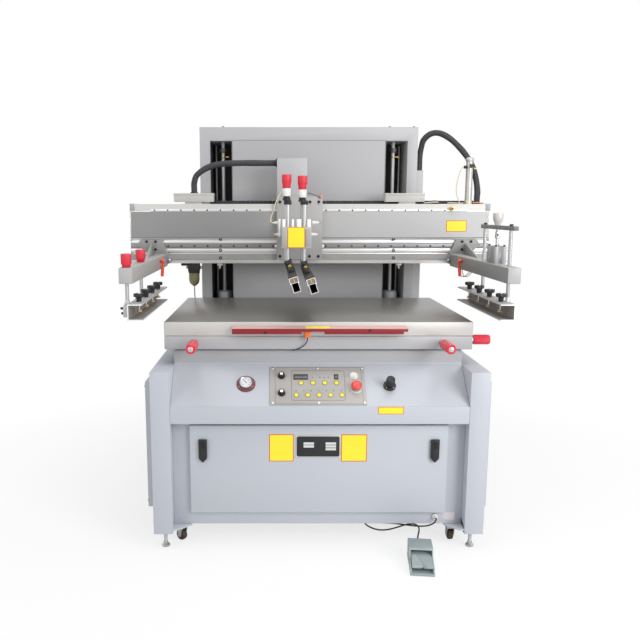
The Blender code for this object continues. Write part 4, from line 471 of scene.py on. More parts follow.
# Four swivelling casters inside the feet: a pressed steel fork and a dark brown tread on its hub.
# They hang 3 mm clear of the floor while the feet carry the machine, and one is turned aside.
tread_rubber = finish("tread_rubber", (62, 48, 42), 0.6, drift=0.2, grain=350, relief=0.25)
for corner, turn in (("front_left", 50), ("front_right", 0), ("rear_left", 0), ("rear_right", 0)):
    softened("caster_fork_" + corner, zinc, 0.0006)
    low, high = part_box("caster_wheel_" + corner)
    centre = (low + high) / 2
    axle = Vector((math.cos(math.radians(turn)), math.sin(math.radians(turn)), 0))
    tread = turned("tread", [(0.0048, -0.0108), (0.013, -0.0108), (0.015, -0.0092), (0.0195, -0.0102),
        (0.0218, -0.0085), (0.0229, -0.0045), (0.0229, 0.0045), (0.0218, 0.0085), (0.0195, 0.0102), (0.015, 0.0092),
        (0.013, 0.0108), (0.0048, 0.0108), (0.0048, -0.0108)], foot=centre, facing=axle, sides=36)
    fitted(tread, "wheel_" + corner, tread_rubber, ["caster_wheel_" + corner])
    tread.name = "caster_tread_" + corner
    low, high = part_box("caster_fork_" + corner)
    fitted(repeated("caster_bolts_" + corner, turned("nut", [(0, 0.003), (0.004, 0.003), (0.004, 0), (0, 0)],
        sides=6, edge=0.0005, facing=UP), [((low.x + high.x) / 2 + dx, (low.y + high.y) / 2 + dy, 0.0852)
        for dx in (-0.014, 0.014) for dy in (-0.014, 0.014)]), "base", zinc)

# The cabinet between the frames, a welded shell in the same enamel, with its lift-off door.
# The door hangs on two black turn latches and carries two bare yellow labels and a black nameplate
# with bare pale fields.
softened("cabinet", enamel, 0.0015)
softened("cabinet_door", enamel, 0.003, 3)
latch_black = finish("latch_black", (20, 21, 24), 0.46, drift=0.15, drift_size=50, grain=500, relief=0.08)
for side, x in (("left", -0.447), ("right", 0.447)):
    softened("latch_" + side, latch_black, 0.0008)
    low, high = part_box("latch_" + side)
    dish = turned("latch_dish_" + side, [(0, 0.0014), (0.0085, 0.0014), (0.01, 0.003), (0.0118, 0.003),
        (0.0125, 0.0015), (0.0125, -0.001)], foot=(x, low.y, 0.418), facing=FORWARD, sides=32)
    slit = block("latch_key_" + side, (x - 0.0022, x + 0.0022), (low.y - 0.0042, low.y - 0.001), (0.4115, 0.4245),
        0.0006)
    rim = profile("latch_grip_" + side, [(x - 0.01, 0.398), (x + 0.01, 0.398), (x + 0.01, 0.369), (x, 0.3585),
        (x - 0.01, 0.369)], "Y", (low.y - 0.0018, low.y + 0.001), 0.0008)
    fitted(joined("latch_face_" + side, [dish, rim]), "base", latch_black)
    fitted(slit, "base", black_oxide)

label_yellow = finish("label_yellow", (252, 224, 46), 0.4, drift=0.04, drift_size=20, relief=0.04)
label_border = finish("label_border", (214, 84, 40), 0.4, drift_size=20, relief=0.04)
plate_black = finish("plate_black", (18, 22, 25), 0.45, drift=0.15, drift_size=15, grain=500, relief=0.04)


def front_label(name, x, z, face, body, border=0.003):
    """A bare yellow label with its thin orange border, stuck on a face that looks forward."""
    back = block(name + "_border", x, (face - 0.0006, face + 0.0004), z, 0.0002, 1)
    front = block(name, (x[0] + border, x[1] - border), (face - 0.0009, face), (z[0] + border, z[1] - border),
        0.0002, 1)
    fitted(back, body, label_border)
    fitted(front, body, label_yellow)


DOOR_FACE_Y = -0.5853
front_label("door_label_left", (-0.1915, -0.097), (0.3505, 0.4595), DOOR_FACE_Y, "base")
front_label("door_label_right", (0.086, 0.1855), (0.35, 0.4585), DOOR_FACE_Y, "base")
fitted(block("nameplate_rim", (-0.0905, 0.0845), (DOOR_FACE_Y - 0.0016, DOOR_FACE_Y + 0.0005), (0.3655, 0.456),
    0.0005), "base", zinc)
fitted(block("nameplate_field", (-0.0855, 0.0795), (DOOR_FACE_Y - 0.0021, DOOR_FACE_Y), (0.3705, 0.451), 0.0004),
    "base", plate_black)
plate_screws = repeated("nameplate_screws", turned("rivet", [(0, 0.002), (0.0024, 0.0017), (0.0044, 0)],
    facing=FORWARD, sides=14), [(x, DOOR_FACE_Y - 0.0015, z) for x in (-0.086, 0.0805) for z in (0.371, 0.451)])
field_grey = finish("field_grey", (206, 208, 206), 0.45, drift=0.04, drift_size=40, relief=0.03)
fitted(plate_screws, "base", field_grey)
plate_fields = [block("field", x, (DOOR_FACE_Y - 0.0024, DOOR_FACE_Y - 0.002), z, 0)
    for x, rows in (((-0.059, -0.019), 2), ((0.026, 0.066), 3)) for z in ((0.418, 0.4275), (0.4067, 0.416),
    (0.3957, 0.4045))[:rows]]
fitted(joined("nameplate_fields", plate_fields), "base", field_grey)

# The moulded gland on the bottom rail, where the pedal's lead comes out, and a paler patch with a
# rounded left end at the rail's right end.
nylon_white = finish("nylon_white", (226, 226, 222), 0.4, drift_size=40, grain=300, relief=0.08)
gland_low, gland_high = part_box("lead_gland")
gland = turned("cable_gland", [(0.0032, 0), (0.0112, 0), (0.0118, 0.0015), (0.0118, 0.0055), (0.0095, 0.0068),
    (0.0082, 0.0075), (0.008, 0.011), (0.0062, 0.017), (0.0046, 0.0198), (0.0032, 0.0198), (0.0032, 0)],
    foot=((gland_low.x + gland_high.x) / 2, gland_high.y, (gland_low.z + gland_high.z) / 2), facing=FORWARD,
    sides=32)
fitted(gland, "base", nylon_white, ["lead_gland"])
enamel_pale = finish("grey_enamel_pale", (206, 200, 204), 0.5, drift=0.04, drift_size=6, grain=700, relief=0.1)
patch_outline = arc((0.508, 0.1185), 0.0165, 90, 270, 15) + [(0.54, 0.102), (0.54, 0.135)]
fitted(profile("rail_patch", patch_outline, "Y", (-0.5656, -0.5645), 0.0003, 1), "base", enamel_pale)

# The front rail, the sloping console and the deck under the table, folded from one sheet.
housing = softened("console_housing", enamel, 0.0022, 3)
# Painted shade: the deck's forward faces under the table get a darker copy of the enamel, for the tray's shadow.
enamel_painted_shade = finish("grey_enamel_shade", (166, 167, 171), 0.45, drift=0.04, drift_size=3, grain=900, relief=0.12,
    wear=0.05)
repainted(housing, enamel_painted_shade, lambda face: face.normal.y < -0.9 and face.center.z > 0.735)
front_label("rail_label", (0.2205, 0.3165), (0.5485, 0.577), -0.62, "base", 0.0022)
fitted(repeated("bearer_bolts", socket_screw(0.005, 0.004, FORWARD), [(x, -0.4352, 0.768)
    for x in (-0.315, -0.285, 0.285, 0.315)]), "base", black_oxide)

# The control panel on the slope: a brushed plate with nine yellow membrane buttons, two dials, two
# small displays, the pale start button and the emergency stop.
SLOPE = (Matrix.Translation((0, -0.615, 0.576)) @ Matrix.Rotation(math.atan2(0.133, 0.143), 4, "X"))
SLOPE_OUT = SLOPE.to_3x3() @ Vector(UP)
PANEL_TOP = 0.0033
DIAL_X = -0.144
STOP = (0.1416, 0.08)
START = (0.1366, 0.1385)
GAUGE = (-0.281, 0.1025)
REGULATOR = (0.272, 0.094)
panel_steel = finish("panel_steel", (170, 167, 164), 0.46, metallic=0.15, drift=0.06, drift_size=5, grain=900,
    stretch=(0.04, 1, 1), relief=0.08)
panel_line = finish("panel_line", (92, 90, 92), 0.5, drift=0.1, grain=500, relief=0.04)
chrome = finish("chrome", (206, 206, 208), 0.2, metallic=1.0, drift=0.08, drift_size=20, grain=300, relief=0.02)


def on_slope(x, up, height=PANEL_TOP):
    """The place of a point x across, up the slope and at a height off it."""
    return SLOPE @ Vector((x, up, height))


def laid_on_slope(piece):
    """Turns a piece modelled flat on the floor up onto the slope."""
    return placed(piece, SLOPE)


softened("control_panel", panel_steel, 0.0008)


def panel_frame(name, x, up, radius, width=0.0013):
    """A printed line round a rounded rectangle on the panel."""
    def corners(inset):
        middles = ((x[1] - radius, up[1] - radius), (x[0] + radius, up[1] - radius),
            (x[0] + radius, up[0] + radius), (x[1] - radius, up[0] + radius))
        return [point for i, middle in enumerate(middles) for point in arc(middle, radius - inset, 90 * i,
            90 * i + 90, 30)]
    ring = profile(name, corners(0), "Z", (PANEL_TOP - 0.0002, PANEL_TOP + 0.0003), 0)
    hole = profile("hole", corners(width), "Z", (PANEL_TOP - 0.001, PANEL_TOP + 0.001), 0)
    fitted(laid_on_slope(cut(ring, hole)), "base", panel_line)


panel_frame("panel_line_buttons", (-0.1065, 0.1005), (0.0262, 0.164), 0.008)
panel_frame("panel_line_border", (-0.1685, 0.1665), (0.0105, 0.179), 0.004, 0.001)
fitted(repeated("panel_screws", turned("screw", [(0, 0.001), (0.0016, 0.001), (0.0022, 0.0026), (0.0044, 0.0022),
    (0.0054, 0)], sides=16, facing=SLOPE_OUT), [on_slope(x, up) for x in (-0.177, -0.0025, 0.1715)
    for up in (0.0145, 0.1755)]), "base", chrome)
display_glass = finish("display_glass", (84, 82, 84), 0.3, drift=0.1, drift_size=20, grain=300, relief=0, coat=0.5)
for name, x, up in (("display_count", (-0.0975, -0.0415), (0.1215, 0.1455)),
        ("display_lamp", (0.06, 0.0765), (0.1225, 0.1455))):
    bezel = laid_on_slope(block(name + "_bezel", x, up, (PANEL_TOP - 0.0002, PANEL_TOP + 0.0022), 0.0006))
    fitted(bezel, "base", latch_black)
    window = laid_on_slope(block(name + "_window", (x[0] + 0.003, x[1] - 0.003), (up[0] + 0.004, up[1] - 0.004),
        (PANEL_TOP, PANEL_TOP + 0.0026), 0.0004))
    fitted(window, "base", display_glass)
lamp_places = [on_slope(x, 0.1325) for x in (-0.024, 0.0048, 0.0212, 0.037)]
lamp_places += [on_slope(x, 0.0703) for x in (-0.0877, -0.0582, -0.0307, -0.0012, 0.0282, 0.0558, 0.0857)]
fitted(repeated("panel_lamps", turned("lamp", [(0, 0.0012), (0.0014, 0.001), (0.002, 0)], facing=SLOPE_OUT,
    sides=12), lamp_places), "base", latch_black)
button_yellow = finish("button_yellow", (244, 224, 40), 0.4, drift_size=60, grain=300)
button_places = [on_slope(-0.0686 + i * 0.0456, 0.1057) for i in range(4)]
button_places += [on_slope(-0.0877 + i * 0.0436, 0.0503) for i in range(5)]
fitted(repeated("button_rings", turned("ring", [(0.0078, 0), (0.0099, 0), (0.0099, 0.0008), (0.0094, 0.0014),
    (0.0078, 0.0014)], facing=SLOPE_OUT), button_places), "base", panel_line)
fitted(repeated("membrane_buttons", turned("dome", [(0, 0.003), (0.0048, 0.0027), (0.0078, 0.0018), (0.0086, 0)],
    facing=SLOPE_OUT), button_places), "base", button_yellow)
dial_white = finish("dial_white", (214, 216, 222), 0.45, drift=0.04, grain=300, relief=0.03)
for name, up in (("timer_dial_upper", 0.1385), ("timer_dial_lower", 0.0589)):
    grip = turned(name + "_grip", [(0, 0.017), (0.009, 0.017), (0.0108, 0.016), (0.0118, 0.005), (0.0142, 0.0042),
        (0.0148, 0.0004), (0, 0.0004)], foot=on_slope(DIAL_X, up), facing=SLOPE_OUT, sides=40)
    for vertex in grip.data.vertices:
        out = vertex.co - on_slope(DIAL_X, up)
        height = out.dot(SLOPE_OUT)
        spoke = out - SLOPE_OUT * height
        if height > 0.0045 and spoke.length > 0.008:
            turn = math.atan2(spoke.cross(Vector((1, 0, 0))).dot(SLOPE_OUT), spoke.x)
            vertex.co -= spoke * 0.06 * (1 + math.cos(20 * turn)) / 2
    fitted(grip, name, latch_black, [name])
    fitted(turned(name + "_cap", [(0, 0.0178), (0.0058, 0.0178), (0.0064, 0.0172), (0.0064, 0.0168), (0, 0.0168)],
        foot=on_slope(DIAL_X, up), facing=SLOPE_OUT, sides=32), name, zinc)
    mark = laid_on_slope(block(name + "_mark", (-0.1447, -0.1433), (up + 0.001, up + 0.0082),
        (PANEL_TOP + 0.0172, PANEL_TOP + 0.0182), 0.0002, 1))
    fitted(mark, name, latch_black)
    ticks = []
    for i in range(11):
        turn = math.radians(-150 + 30 * i)
        tick = block("tick", (-0.0004, 0.0004), (0.0168, 0.0198 if i % 5 else 0.0212),
            (PANEL_TOP - 0.0002, PANEL_TOP + 0.0002), 0)
        ticks.append(placed(tick, SLOPE @ Matrix.Translation((DIAL_X, up, 0)) @ Matrix.Rotation(-turn, 4, "Z")))
    fitted(joined(name + "_scale", ticks), "base", panel_line)

# The emergency stop, a red mushroom on a white collar, and the pale start button in its plated bezel.
signal_red = finish("signal_red", (236, 62, 54), 0.36, drift=0.06, relief=0.06, coat=0.3)
stop_foot = on_slope(*STOP, 0)
stop_low = PANEL_TOP + 0.012 + 0.0065
fitted(turned("stop_mushroom", [(0, 0.0077), (0.0098, 0.0077), (0.0098, stop_low), (0.0185, stop_low),
    (0.0198, stop_low + 0.002), (0.02, stop_low + 0.006), (0.0186, stop_low + 0.0095), (0.015, stop_low + 0.0122),
    (0.008, stop_low + 0.013), (0, stop_low + 0.013)], foot=stop_foot, facing=SLOPE_OUT, sides=40), "e_stop",
    signal_red, ["e_stop_button"])
fitted(turned("stop_collar", [(0.0112, 0.0118), (0.0165, 0.0118), (0.0205, 0.0098), (0.0222, 0.004), (0.0222, 0),
    (0.0112, 0), (0.0112, 0.0118)], foot=on_slope(*STOP), facing=SLOPE_OUT, sides=36), "base", nylon_white)
ivory = finish("ivory_plastic", (216, 214, 206), 0.32, drift=0.04, drift_size=40, grain=300, relief=0.04)
start = turned("start_cap", [(0, 0.0036), (0.0118, 0.0036), (0.0118, 0.01), (0.0108, 0.0112), (0.008, 0.0108),
    (0, 0.0106)], foot=on_slope(*START, 0), facing=SLOPE_OUT, sides=36)
fitted(start, "start_button", ivory, ["start_button"])
fitted(turned("start_bezel", [(0.0128, 0), (0.017, 0), (0.017, 0.0026), (0.0152, 0.0045), (0.0128, 0.0045),
    (0.0128, 0)], foot=on_slope(*START), facing=SLOPE_OUT, sides=36), "base", zinc)

# The air gauge left of the panel: a chromed case on a bronze flange with three brass screws, and a
# white dial with plain numbers.
gauge_foot = on_slope(*GAUGE, 0.0003)
gauge_case = turned("gauge_case", [(0, 0), (0.036, 0), (0.036, 0.0035), (0.0345, 0.0052), (0.0258, 0.0062),
    (0.0254, 0.0128), (0.0248, 0.0155), (0.0236, 0.016), (0.0222, 0.015), (0.0218, 0.0125), (0, 0.0125)],
    foot=gauge_foot, facing=SLOPE_OUT, sides=56)
fitted(gauge_case, "base", chrome, ["pressure_gauge"])
bezel_bronze = finish("bezel_bronze", (104, 58, 58), 0.4, metallic=0.35, drift=0.15, drift_size=40)
repainted(gauge_case, bezel_bronze, lambda face: (face.center - gauge_foot).dot(SLOPE_OUT) < 0.006)
fitted(repeated("gauge_screws", turned("screw", [(0, 0.0014), (0.0014, 0.0012), (0.0022, 0)], facing=SLOPE_OUT,
    sides=12), [on_slope(x, up, 0.0057) for x, up in arc(GAUGE, 0.0305, 90, 330, 120)]), "base", brass)
fitted(turned("gauge_dial", [(0, 0.0131), (0.0217, 0.0131), (0.0217, 0.012)], foot=gauge_foot, facing=SLOPE_OUT,
    sides=56), "base", dial_white)
marks = []
for i in range(31):
    long_mark = i % 5 == 0
    tick = block("tick", (-0.0003 - 0.0002 * long_mark, 0.0003 + 0.0002 * long_mark),
        (0.0156 if long_mark else 0.0172, 0.0196), (0.013, 0.0134), 0)
    marks.append(placed(tick, SLOPE @ Matrix.Translation((*GAUGE, 0.0003))
        @ Matrix.Rotation(math.radians(135 - 9 * i), 4, "Z")))
for i in range(7):
    turn = math.radians(135 - 45 * i)
    bpy.ops.object.select_all(action="DESELECT")
    bpy.ops.object.text_add(location=(0, 0, 0))
    number = bpy.context.object
    number.data.body = str(2 * i)
    number.data.size = 0.0054
    number.data.align_x = "CENTER"
    number.data.align_y = "CENTER"
    number.data.extrude = 0.0001
    bpy.ops.object.convert(target="MESH")
    number = bpy.context.object
    marks.append(placed(number, SLOPE @ Matrix.Translation((GAUGE[0] - 0.0124 * math.sin(turn),
        GAUGE[1] + 0.0124 * math.cos(turn), 0.0136))))
needle = profile("needle", [(-0.0007, -0.005), (0.0007, -0.005), (0.0003, 0.016), (-0.0003, 0.016)], "Z",
    (0.0138, 0.0142), 0)
marks.append(placed(needle, SLOPE @ Matrix.Translation((*GAUGE, 0.0003))
    @ Matrix.Rotation(math.radians(38), 4, "Z")))
marks.append(turned("needle_hub", [(0, 0.015), (0.0018, 0.0148), (0.0022, 0.0132), (0, 0.0132)], foot=gauge_foot,
    facing=SLOPE_OUT, sides=16))
fitted(joined("gauge_scale", marks), "base", plate_black)

# The pressure regulator right of the panel: a black flange and neck under a fluted black knob.
softened("regulator_body", latch_black, 0.0008)


def fluted(name, foot, facing, radii, heights, lobes, depth, sides):
    """A grip knob: a ring of each radius at its height, its side pressed in between the lobes."""
    outline = [(0, heights[0])] + list(zip(radii, heights)) + [(0, heights[-1])]
    knob = turned(name, outline, sides=sides)
    middle = max(radii)
    for vertex in knob.data.vertices:
        spoke = Vector((vertex.co.x, vertex.co.y))
        if spoke.length > middle * 0.93:
            share = (1 - math.cos(lobes * math.atan2(spoke.y, spoke.x))) / 2
            vertex.co.x -= spoke.x / spoke.length * depth * share
            vertex.co.y -= spoke.y / spoke.length * depth * share
    return stood(knob, foot, facing)


fitted(fluted("regulator_grip", on_slope(*REGULATOR, 0.0188), SLOPE_OUT,
    [0.015, 0.0168, 0.017, 0.017, 0.016, 0.013], [0, 0.0015, 0.006, 0.024, 0.0285, 0.03], 24, 0.001, 96),
    "regulator_knob", latch_black, ["regulator_knob"])
fitted(repeated("regulator_screws", turned("screw", [(0, 0.0006), (0.0011, 0.0006), (0.0014, 0.0015),
    (0.0022, 0.0012), (0.0025, 0)], sides=12, facing=SLOPE_OUT), [on_slope(REGULATOR[0] + dx, REGULATOR[1] + dy,
    0.0083) for dy in (-0.0135, 0.0135) for dx in (-0.0135, 0.0135)]), "base", zinc)

# The lift column: a welded enamel tower with a slot down each side for a ground guide rod. Each slot is
# lined with a dark sheet of painted shade, and the right slot's outer wall is painted pale as painted
# light. Each slot has a collar at its foot, a brass ring near its top and a thin second rod behind.
column_grey = finish("column_grey", (174, 174, 176), 0.44, drift=0.035, drift_size=2.2, grain=900, relief=0.12,
    coat=0.1, wear=0.05)
softened("column_housing", column_grey, 0.0022, 3)
ROD_X, ROD_Y = 0.433, 0.56
rod_steel = finish("rod_steel", (222, 222, 222), 0.34, metallic=0.35, drift_size=20, grain=300, relief=0.02)
rod_clamp_dark = finish("rod_clamp_dark", (86, 86, 88), 0.42, metallic=0.5, drift=0.1)
for side, sign in SIDES:
    guide = softened("guide_rod_" + side, rod_steel, 0.0006)
    repainted(guide, rod_clamp_dark, lambda face: abs(face.normal.z) > 0.9
        or math.hypot(face.center.x - sign * ROD_X, face.center.y - ROD_Y) > 0.0125)
strip_white = finish("strip_white", (208, 207, 204), 0.4, metallic=0.1, drift=0.03, drift_size=4,
    stretch=(0.02, 1, 1))
rod_grey = finish("rod_grey", (188, 188, 189), 0.32, metallic=0.6, drift_size=20, grain=300, relief=0.02)
# Painted shade: a dark sheet lines each deep slot, for the shade inside it.
slot_painted_shade = finish("slot_painted_shade", (58, 58, 60), 0.6, drift=0.2, drift_size=6, grain=500, relief=0.08)
dull_steel = finish("dull_steel", (150, 150, 152), 0.38, metallic=0.9, drift=0.12, drift_size=20,
    stretch=(1, 1, 0.05), relief=0.06)
for side, sign in SIDES:
    near, far = sign * 0.3853, sign * 0.4927
    lining = [(near, 0.4868), (near, 0.7347), (far, 0.7347), (far, 0.4868), (far - sign * 0.0012, 0.4868),
        (far - sign * 0.0012, 0.7335), (near + sign * 0.0012, 0.7335), (near + sign * 0.0012, 0.4868)]
    slot = fitted(profile("slot_lining_" + side, lining, "Z", (0.8005, 1.6475), 0.0003, 1), "base", slot_painted_shade)
    # Painted light: the right slot's outer wall gets the pale strip colour for the light that falls on it.
    repainted(slot, strip_white, lambda face: face.normal.x < -0.9 and face.center.x > 0.48)
    fitted(turned("rod_foot_" + side, [(0.0096, 0), (0.0396, 0), (0.0396, 0.085), (0.0376, 0.089), (0.03, 0.0925),
        (0.015, 0.093), (0.0096, 0.093), (0.0096, 0)], foot=(sign * ROD_X, ROD_Y, 0.8005), sides=40), "base",
        enamel_dark)
    ring = turned("rod_ring_" + side, [(0.0094, 0), (0.0132, 0), (0.0132, 0.006), (0.0094, 0.006), (0.0094, 0)],
        foot=(sign * ROD_X, ROD_Y, 1.572), sides=28, edge=0.0006)
    ear = block("rod_ear_" + side, (sign * ROD_X + 0.01, sign * ROD_X + 0.03), (0.5565, 0.56), (1.5715, 1.5775),
        0.0008)
    fitted(joined("rod_clip_" + side, [ring, ear]), "base", brass)
    rod_x = -0.4745 if side == "left" else 0.478
    fitted(turned("thin_rod_" + side, [(0, 0.801), (0.0045, 0.801), (0.0045, 1.634), (0.0038, 1.638), (0, 1.638)],
        foot=(rod_x, 0.65, 0), sides=16), "base", rod_steel)
fitted(repeated("top_plugs", turned("plug", [(0, 0.006), (0.005, 0.006), (0.0066, 0.0046), (0.007, 0)], sides=20),
    [(-0.4295, 0.515, 1.7148), (0.4066, 0.515, 1.7148), (0.5274, 0.515, 1.7148)]), "base", latch_black)

# The column's loose sheets: the thin edge of the centre panel in front, and at the back a screwed
# service cover with pressed louvres.
seam_grey = finish("seam_grey", (120, 122, 127), 0.55, drift=0.08, drift_size=12, grain=500)
panel_outline = [(-0.383, 0.775), (0.383, 0.775), (0.383, 1.6515), (-0.383, 1.6515)]
seam = profile("centre_seam", panel_outline, "Y", (0.4842, 0.4853), 0)
seam_field = profile("seam_field", [(-0.3816, 0.77), (0.3816, 0.77), (0.3816, 1.6501), (-0.3816, 1.6501)], "Y",
    (0.48, 0.49), 0)
fitted(cut(seam, seam_field), "base", seam_grey)
fitted(block("rear_cover", (-0.47, 0.47), (0.8345, 0.8372), (0.18, 1.64), 0.0012), "base", column_grey)
fitted(repeated("rear_louvres", block("louvre", (-0.055, 0.055), (-0.001, 0.0045), (-0.005, 0.005), 0.0022, 3),
    [(x, 0.8372, z) for x in (-0.32, -0.18, 0.18, 0.32) for z in [0.3 + 0.024 * i for i in range(9)]]), "base",
    enamel_dark)
fitted(repeated("rear_screws", socket_screw(0.006, 0.0035, (0, 1, 0)),
    [(x, 0.837, z) for x in (-0.455, 0, 0.455) for z in (0.195, 0.665, 1.145, 1.625)]), "base", black_oxide)

# The table: a ground steel bed 56 mm deep on an enamelled tray. Red plastic knobs on the front and
# side shift it by fractions of a millimetre, and a red safety bar runs along its front edge.
ground_steel_painted_reflection = finish("ground_steel_painted_reflection", (142, 139, 135), 0.34, metallic=0.55, drift=0.09, drift_size=1.6, grain=420,
    stretch=(1, 0.02, 1), relief=0.1, wear=0.14)
edge_steel = finish("edge_steel", (200, 198, 195), 0.44, metallic=0.2, drift=0.08, drift_size=3, grain=500,
    stretch=(0.05, 1, 1), relief=0.08)
bed = softened("table_top", edge_steel, 0.0018)
# Painted reflection: the bed's top gets a darker steel than its sides, for the dark column it reflects; its long
# grinding grain is its own.
repainted(bed, ground_steel_painted_reflection, lambda face: face.normal.z > 0.7)
softened("table_tray", column_grey, 0.0015)
fitted(repeated("tray_studs", turned("stud", [(0, 0), (0.006, 0), (0.006, -0.006), (0.0045, -0.0075),
    (0.0045, -0.016), (0.003, -0.0175), (0, -0.0175)], sides=20), [(x, -0.45, 0.7722) for x in (-0.557, 0.551)]),
    "tray", black_oxide)
fitted(repeated("tray_side_bolts", socket_screw(0.0065, 0.0045, (1, 0, 0)),
    [(0.6, y, 0.7985) for y in (-0.25, 0.1, 0.27)]), "tray", zinc)
red_grip = finish("red_grip", (214, 36, 58), 0.34, drift=0.07, grain=500, relief=0.08, coat=0.15)
for name, facing, shaft, length in (("adjuster_left", FORWARD, 0.03, 0.148),
        ("adjuster_right", FORWARD, 0.03, 0.148), ("adjuster_side", (1, 0, 0), 0.018, 0.086)):
    low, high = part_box(name)
    centre = (low + high) / 2
    foot = Vector((centre.x, high.y, centre.z)) if facing[1] else Vector((low.x, centre.y, centre.z))
    body = body_of[name]
    fitted(fluted(name + "_grip", foot, facing, [0.015, 0.0182, 0.0196, 0.02, 0.02, 0.0192, 0.016],
        [shaft, shaft + 0.001, shaft + 0.004, shaft + 0.009, length - 0.012, length - 0.005, length - 0.0018], 10,
        0.0014, 80), body, red_grip, [name])
    fitted(turned(name + "_neck", [(0, 0), (0.0132, 0), (0.014, 0.0008), (0.014, shaft * 0.55),
        (0.0122, shaft * 0.62), (0.0122, shaft + 0.0002), (0, shaft + 0.0002)], foot=foot, facing=facing, sides=32),
        body, chrome)
    end = turned(name + "_end", [(0, length - 0.0004), (0.0085, length - 0.0004), (0.0098, length - 0.0014),
        (0.0098, length - 0.003), (0, length - 0.003)], foot=foot, facing=facing, sides=28)
    fitted(end, body, zinc)
bar_red = finish("bar_red", (136, 16, 34), 0.36, drift=0.08, drift_size=8, grain=500, relief=0.08, coat=0.1)
bar = softened("safety_bar", bar_red, 0.0008)
# Painted highlight: the safety bar's upward faces get a pale copy of its red, for the light on its top.
bar_red_painted_highlight = finish("bar_red_painted_highlight", (210, 172, 164), 0.55, drift=0.08, drift_size=8, grain=500, relief=0.08)
repainted(bar, bar_red_painted_highlight, lambda face: face.normal.z > 0.6)
fitted(repeated("bar_screws", turned("screw", [(0, 0.0008), (0.0014, 0.0008), (0.0018, 0.0022), (0.0042, 0.0018),
    (0.005, 0)], facing=FORWARD, sides=18), [(-0.2066, -0.524, 0.8449), (0.195, -0.5253, 0.8535)]), "bed",
    black_oxide)
fitted(profile("bar_label", [(-0.5215, 0.8606), (-0.498, 0.8648), (-0.498, 0.8654), (-0.5215, 0.8612)], "X",
    (-0.052, 0.042), 0), "bed", label_yellow)
orange_plastic = finish("orange_plastic", (236, 112, 30), 0.36, drift=0.06)
fitted(block("bar_sensor", (-0.054, -0.033), (-0.515, -0.489), (0.823, 0.8482), 0.0012), "bed", orange_plastic)
wire("sensor_wire", [(-0.043, -0.502, 0.8235), (-0.043, -0.502, 0.817), (-0.045, -0.5, 0.806),
    (-0.053, -0.496, 0.793), (-0.068, -0.4925, 0.781), (-0.085, -0.4905, 0.773), (-0.096, -0.4895, 0.769),
    (-0.101, -0.486, 0.77)], 0.004, 0.0019, cable_rubber, "bed")

# The head beam: a 1.74 m aluminium extrusion. A bright strip with a row of screws runs along its
# top, a grey sheet cover under it, then bright bands between dark seams, a let-in steel rail for the
# carriage and a matt band.
beam_metal = finish("beam_metal", (226, 224, 222), 0.3, metallic=0.45, drift=0.1, drift_size=5, grain=260,
    stretch=(0.012, 1, 1), relief=0.1, wear=0.16)
# Painted shade: the cover's colour is darkened towards the left, to 0.6 of it beyond x = -0.32.
cover_metal = finish("cover_metal", (182, 182, 182), 0.44, metallic=0.2, drift_size=1.2, grain=500,
    stretch=(0.02, 1, 1), relief=0.06, wear=0.08, shade_sweep=(-0.32, 0.02, 0.6))
rail_steel = finish("rail_steel", (136, 136, 139), 0.38, metallic=0.45, drift=0.08, drift_size=6,
    stretch=(0.02, 1, 1))
softened("beam", beam_metal, 0.001)
softened("linear_rail", rail_steel, 0.0006)
for name, paint, x, y, z, edge, steps in (("beam_cover", cover_metal, (-0.866, 0.866), (0.3012, 0.3022),
        (1.1775, 1.2995), 0.0004, 1), ("beam_top_strip", strip_white, (-0.845, 0.845), (0.303, 0.306),
        (1.3055, 1.3362), 0.0006, 1), ("beam_strip_lip", beam_metal, (-0.77, 0.76), (0.3012, 0.306),
        (1.3012, 1.3125), 0.0008, 2), ("beam_cover_edge", seam_grey, (-0.868, 0.868), (0.3005, 0.3035),
        (1.1735, 1.1775), 0.0006, 2)):
    fitted(block(name, x, y, z, edge, steps), "head", paint)
beam_lines = [block("line", (-0.869, 0.869), (0.3046, 0.3056), z, 0) for z in ((1.1448, 1.147), (1.1246, 1.1268))]
beam_lines.append(block("line", (-0.869, 0.869), (0.3012, 0.303), (1.07, 1.0716), 0))
fitted(joined("beam_lines", beam_lines), "head", seam_grey)
band_grey = finish("band_grey", (168, 167, 166), 0.5, metallic=0.15, drift=0.1, grain=160, relief=0.1, wear=0.3)
fitted(block("beam_band", (-0.869, 0.869), (0.3014, 0.303), (1.0716, 1.0988), 0.0002, 1), "head", band_grey)
fitted(repeated("strip_screws", turned("screw", [(0, 0.0006), (0.0016, 0.0006), (0.002, 0.0024), (0.0036, 0.002),
    (0.0041, 0)], facing=FORWARD, sides=12), [(-0.7508 + 0.0637 * i, 0.3014, 1.3075) for i in range(23)]), "head",
    black_oxide)
fitted(repeated("rail_holes", turned("hole", [(0, 0.0001), (0.0026, 0.0001), (0.0026, 0.0004), (0.0044, 0.0004),
    (0.005, 0)], facing=FORWARD, sides=14), [(-0.6885 + 0.0638 * i, 0.3051, 1.136) for i in range(22)]), "head",
    black_oxide)
fitted(repeated("cover_face_screws", turned("screw", [(0, 0.0006), (0.0014, 0.0006), (0.0018, 0.0018),
    (0.0034, 0.0015), (0.004, 0)], facing=FORWARD, sides=14), [(x, 0.3013, z) for x in (-0.8565, 0.8565)
    for z in (1.201, 1.278)]), "head", brass)
fitted(repeated("beam_bolts", turned("bolt", [(0, 0.0001), (0.0032, 0.0001), (0.0036, 0.0006), (0.0076, 0.0006),
    (0.0084, 0)], facing=FORWARD, sides=20), [(x, y, z) for x in (-0.4345, 0.408)
    for y, z in ((0.3052, 1.17), (0.3052, 1.1146), (0.3016, 1.078))]), "head", black_oxide)
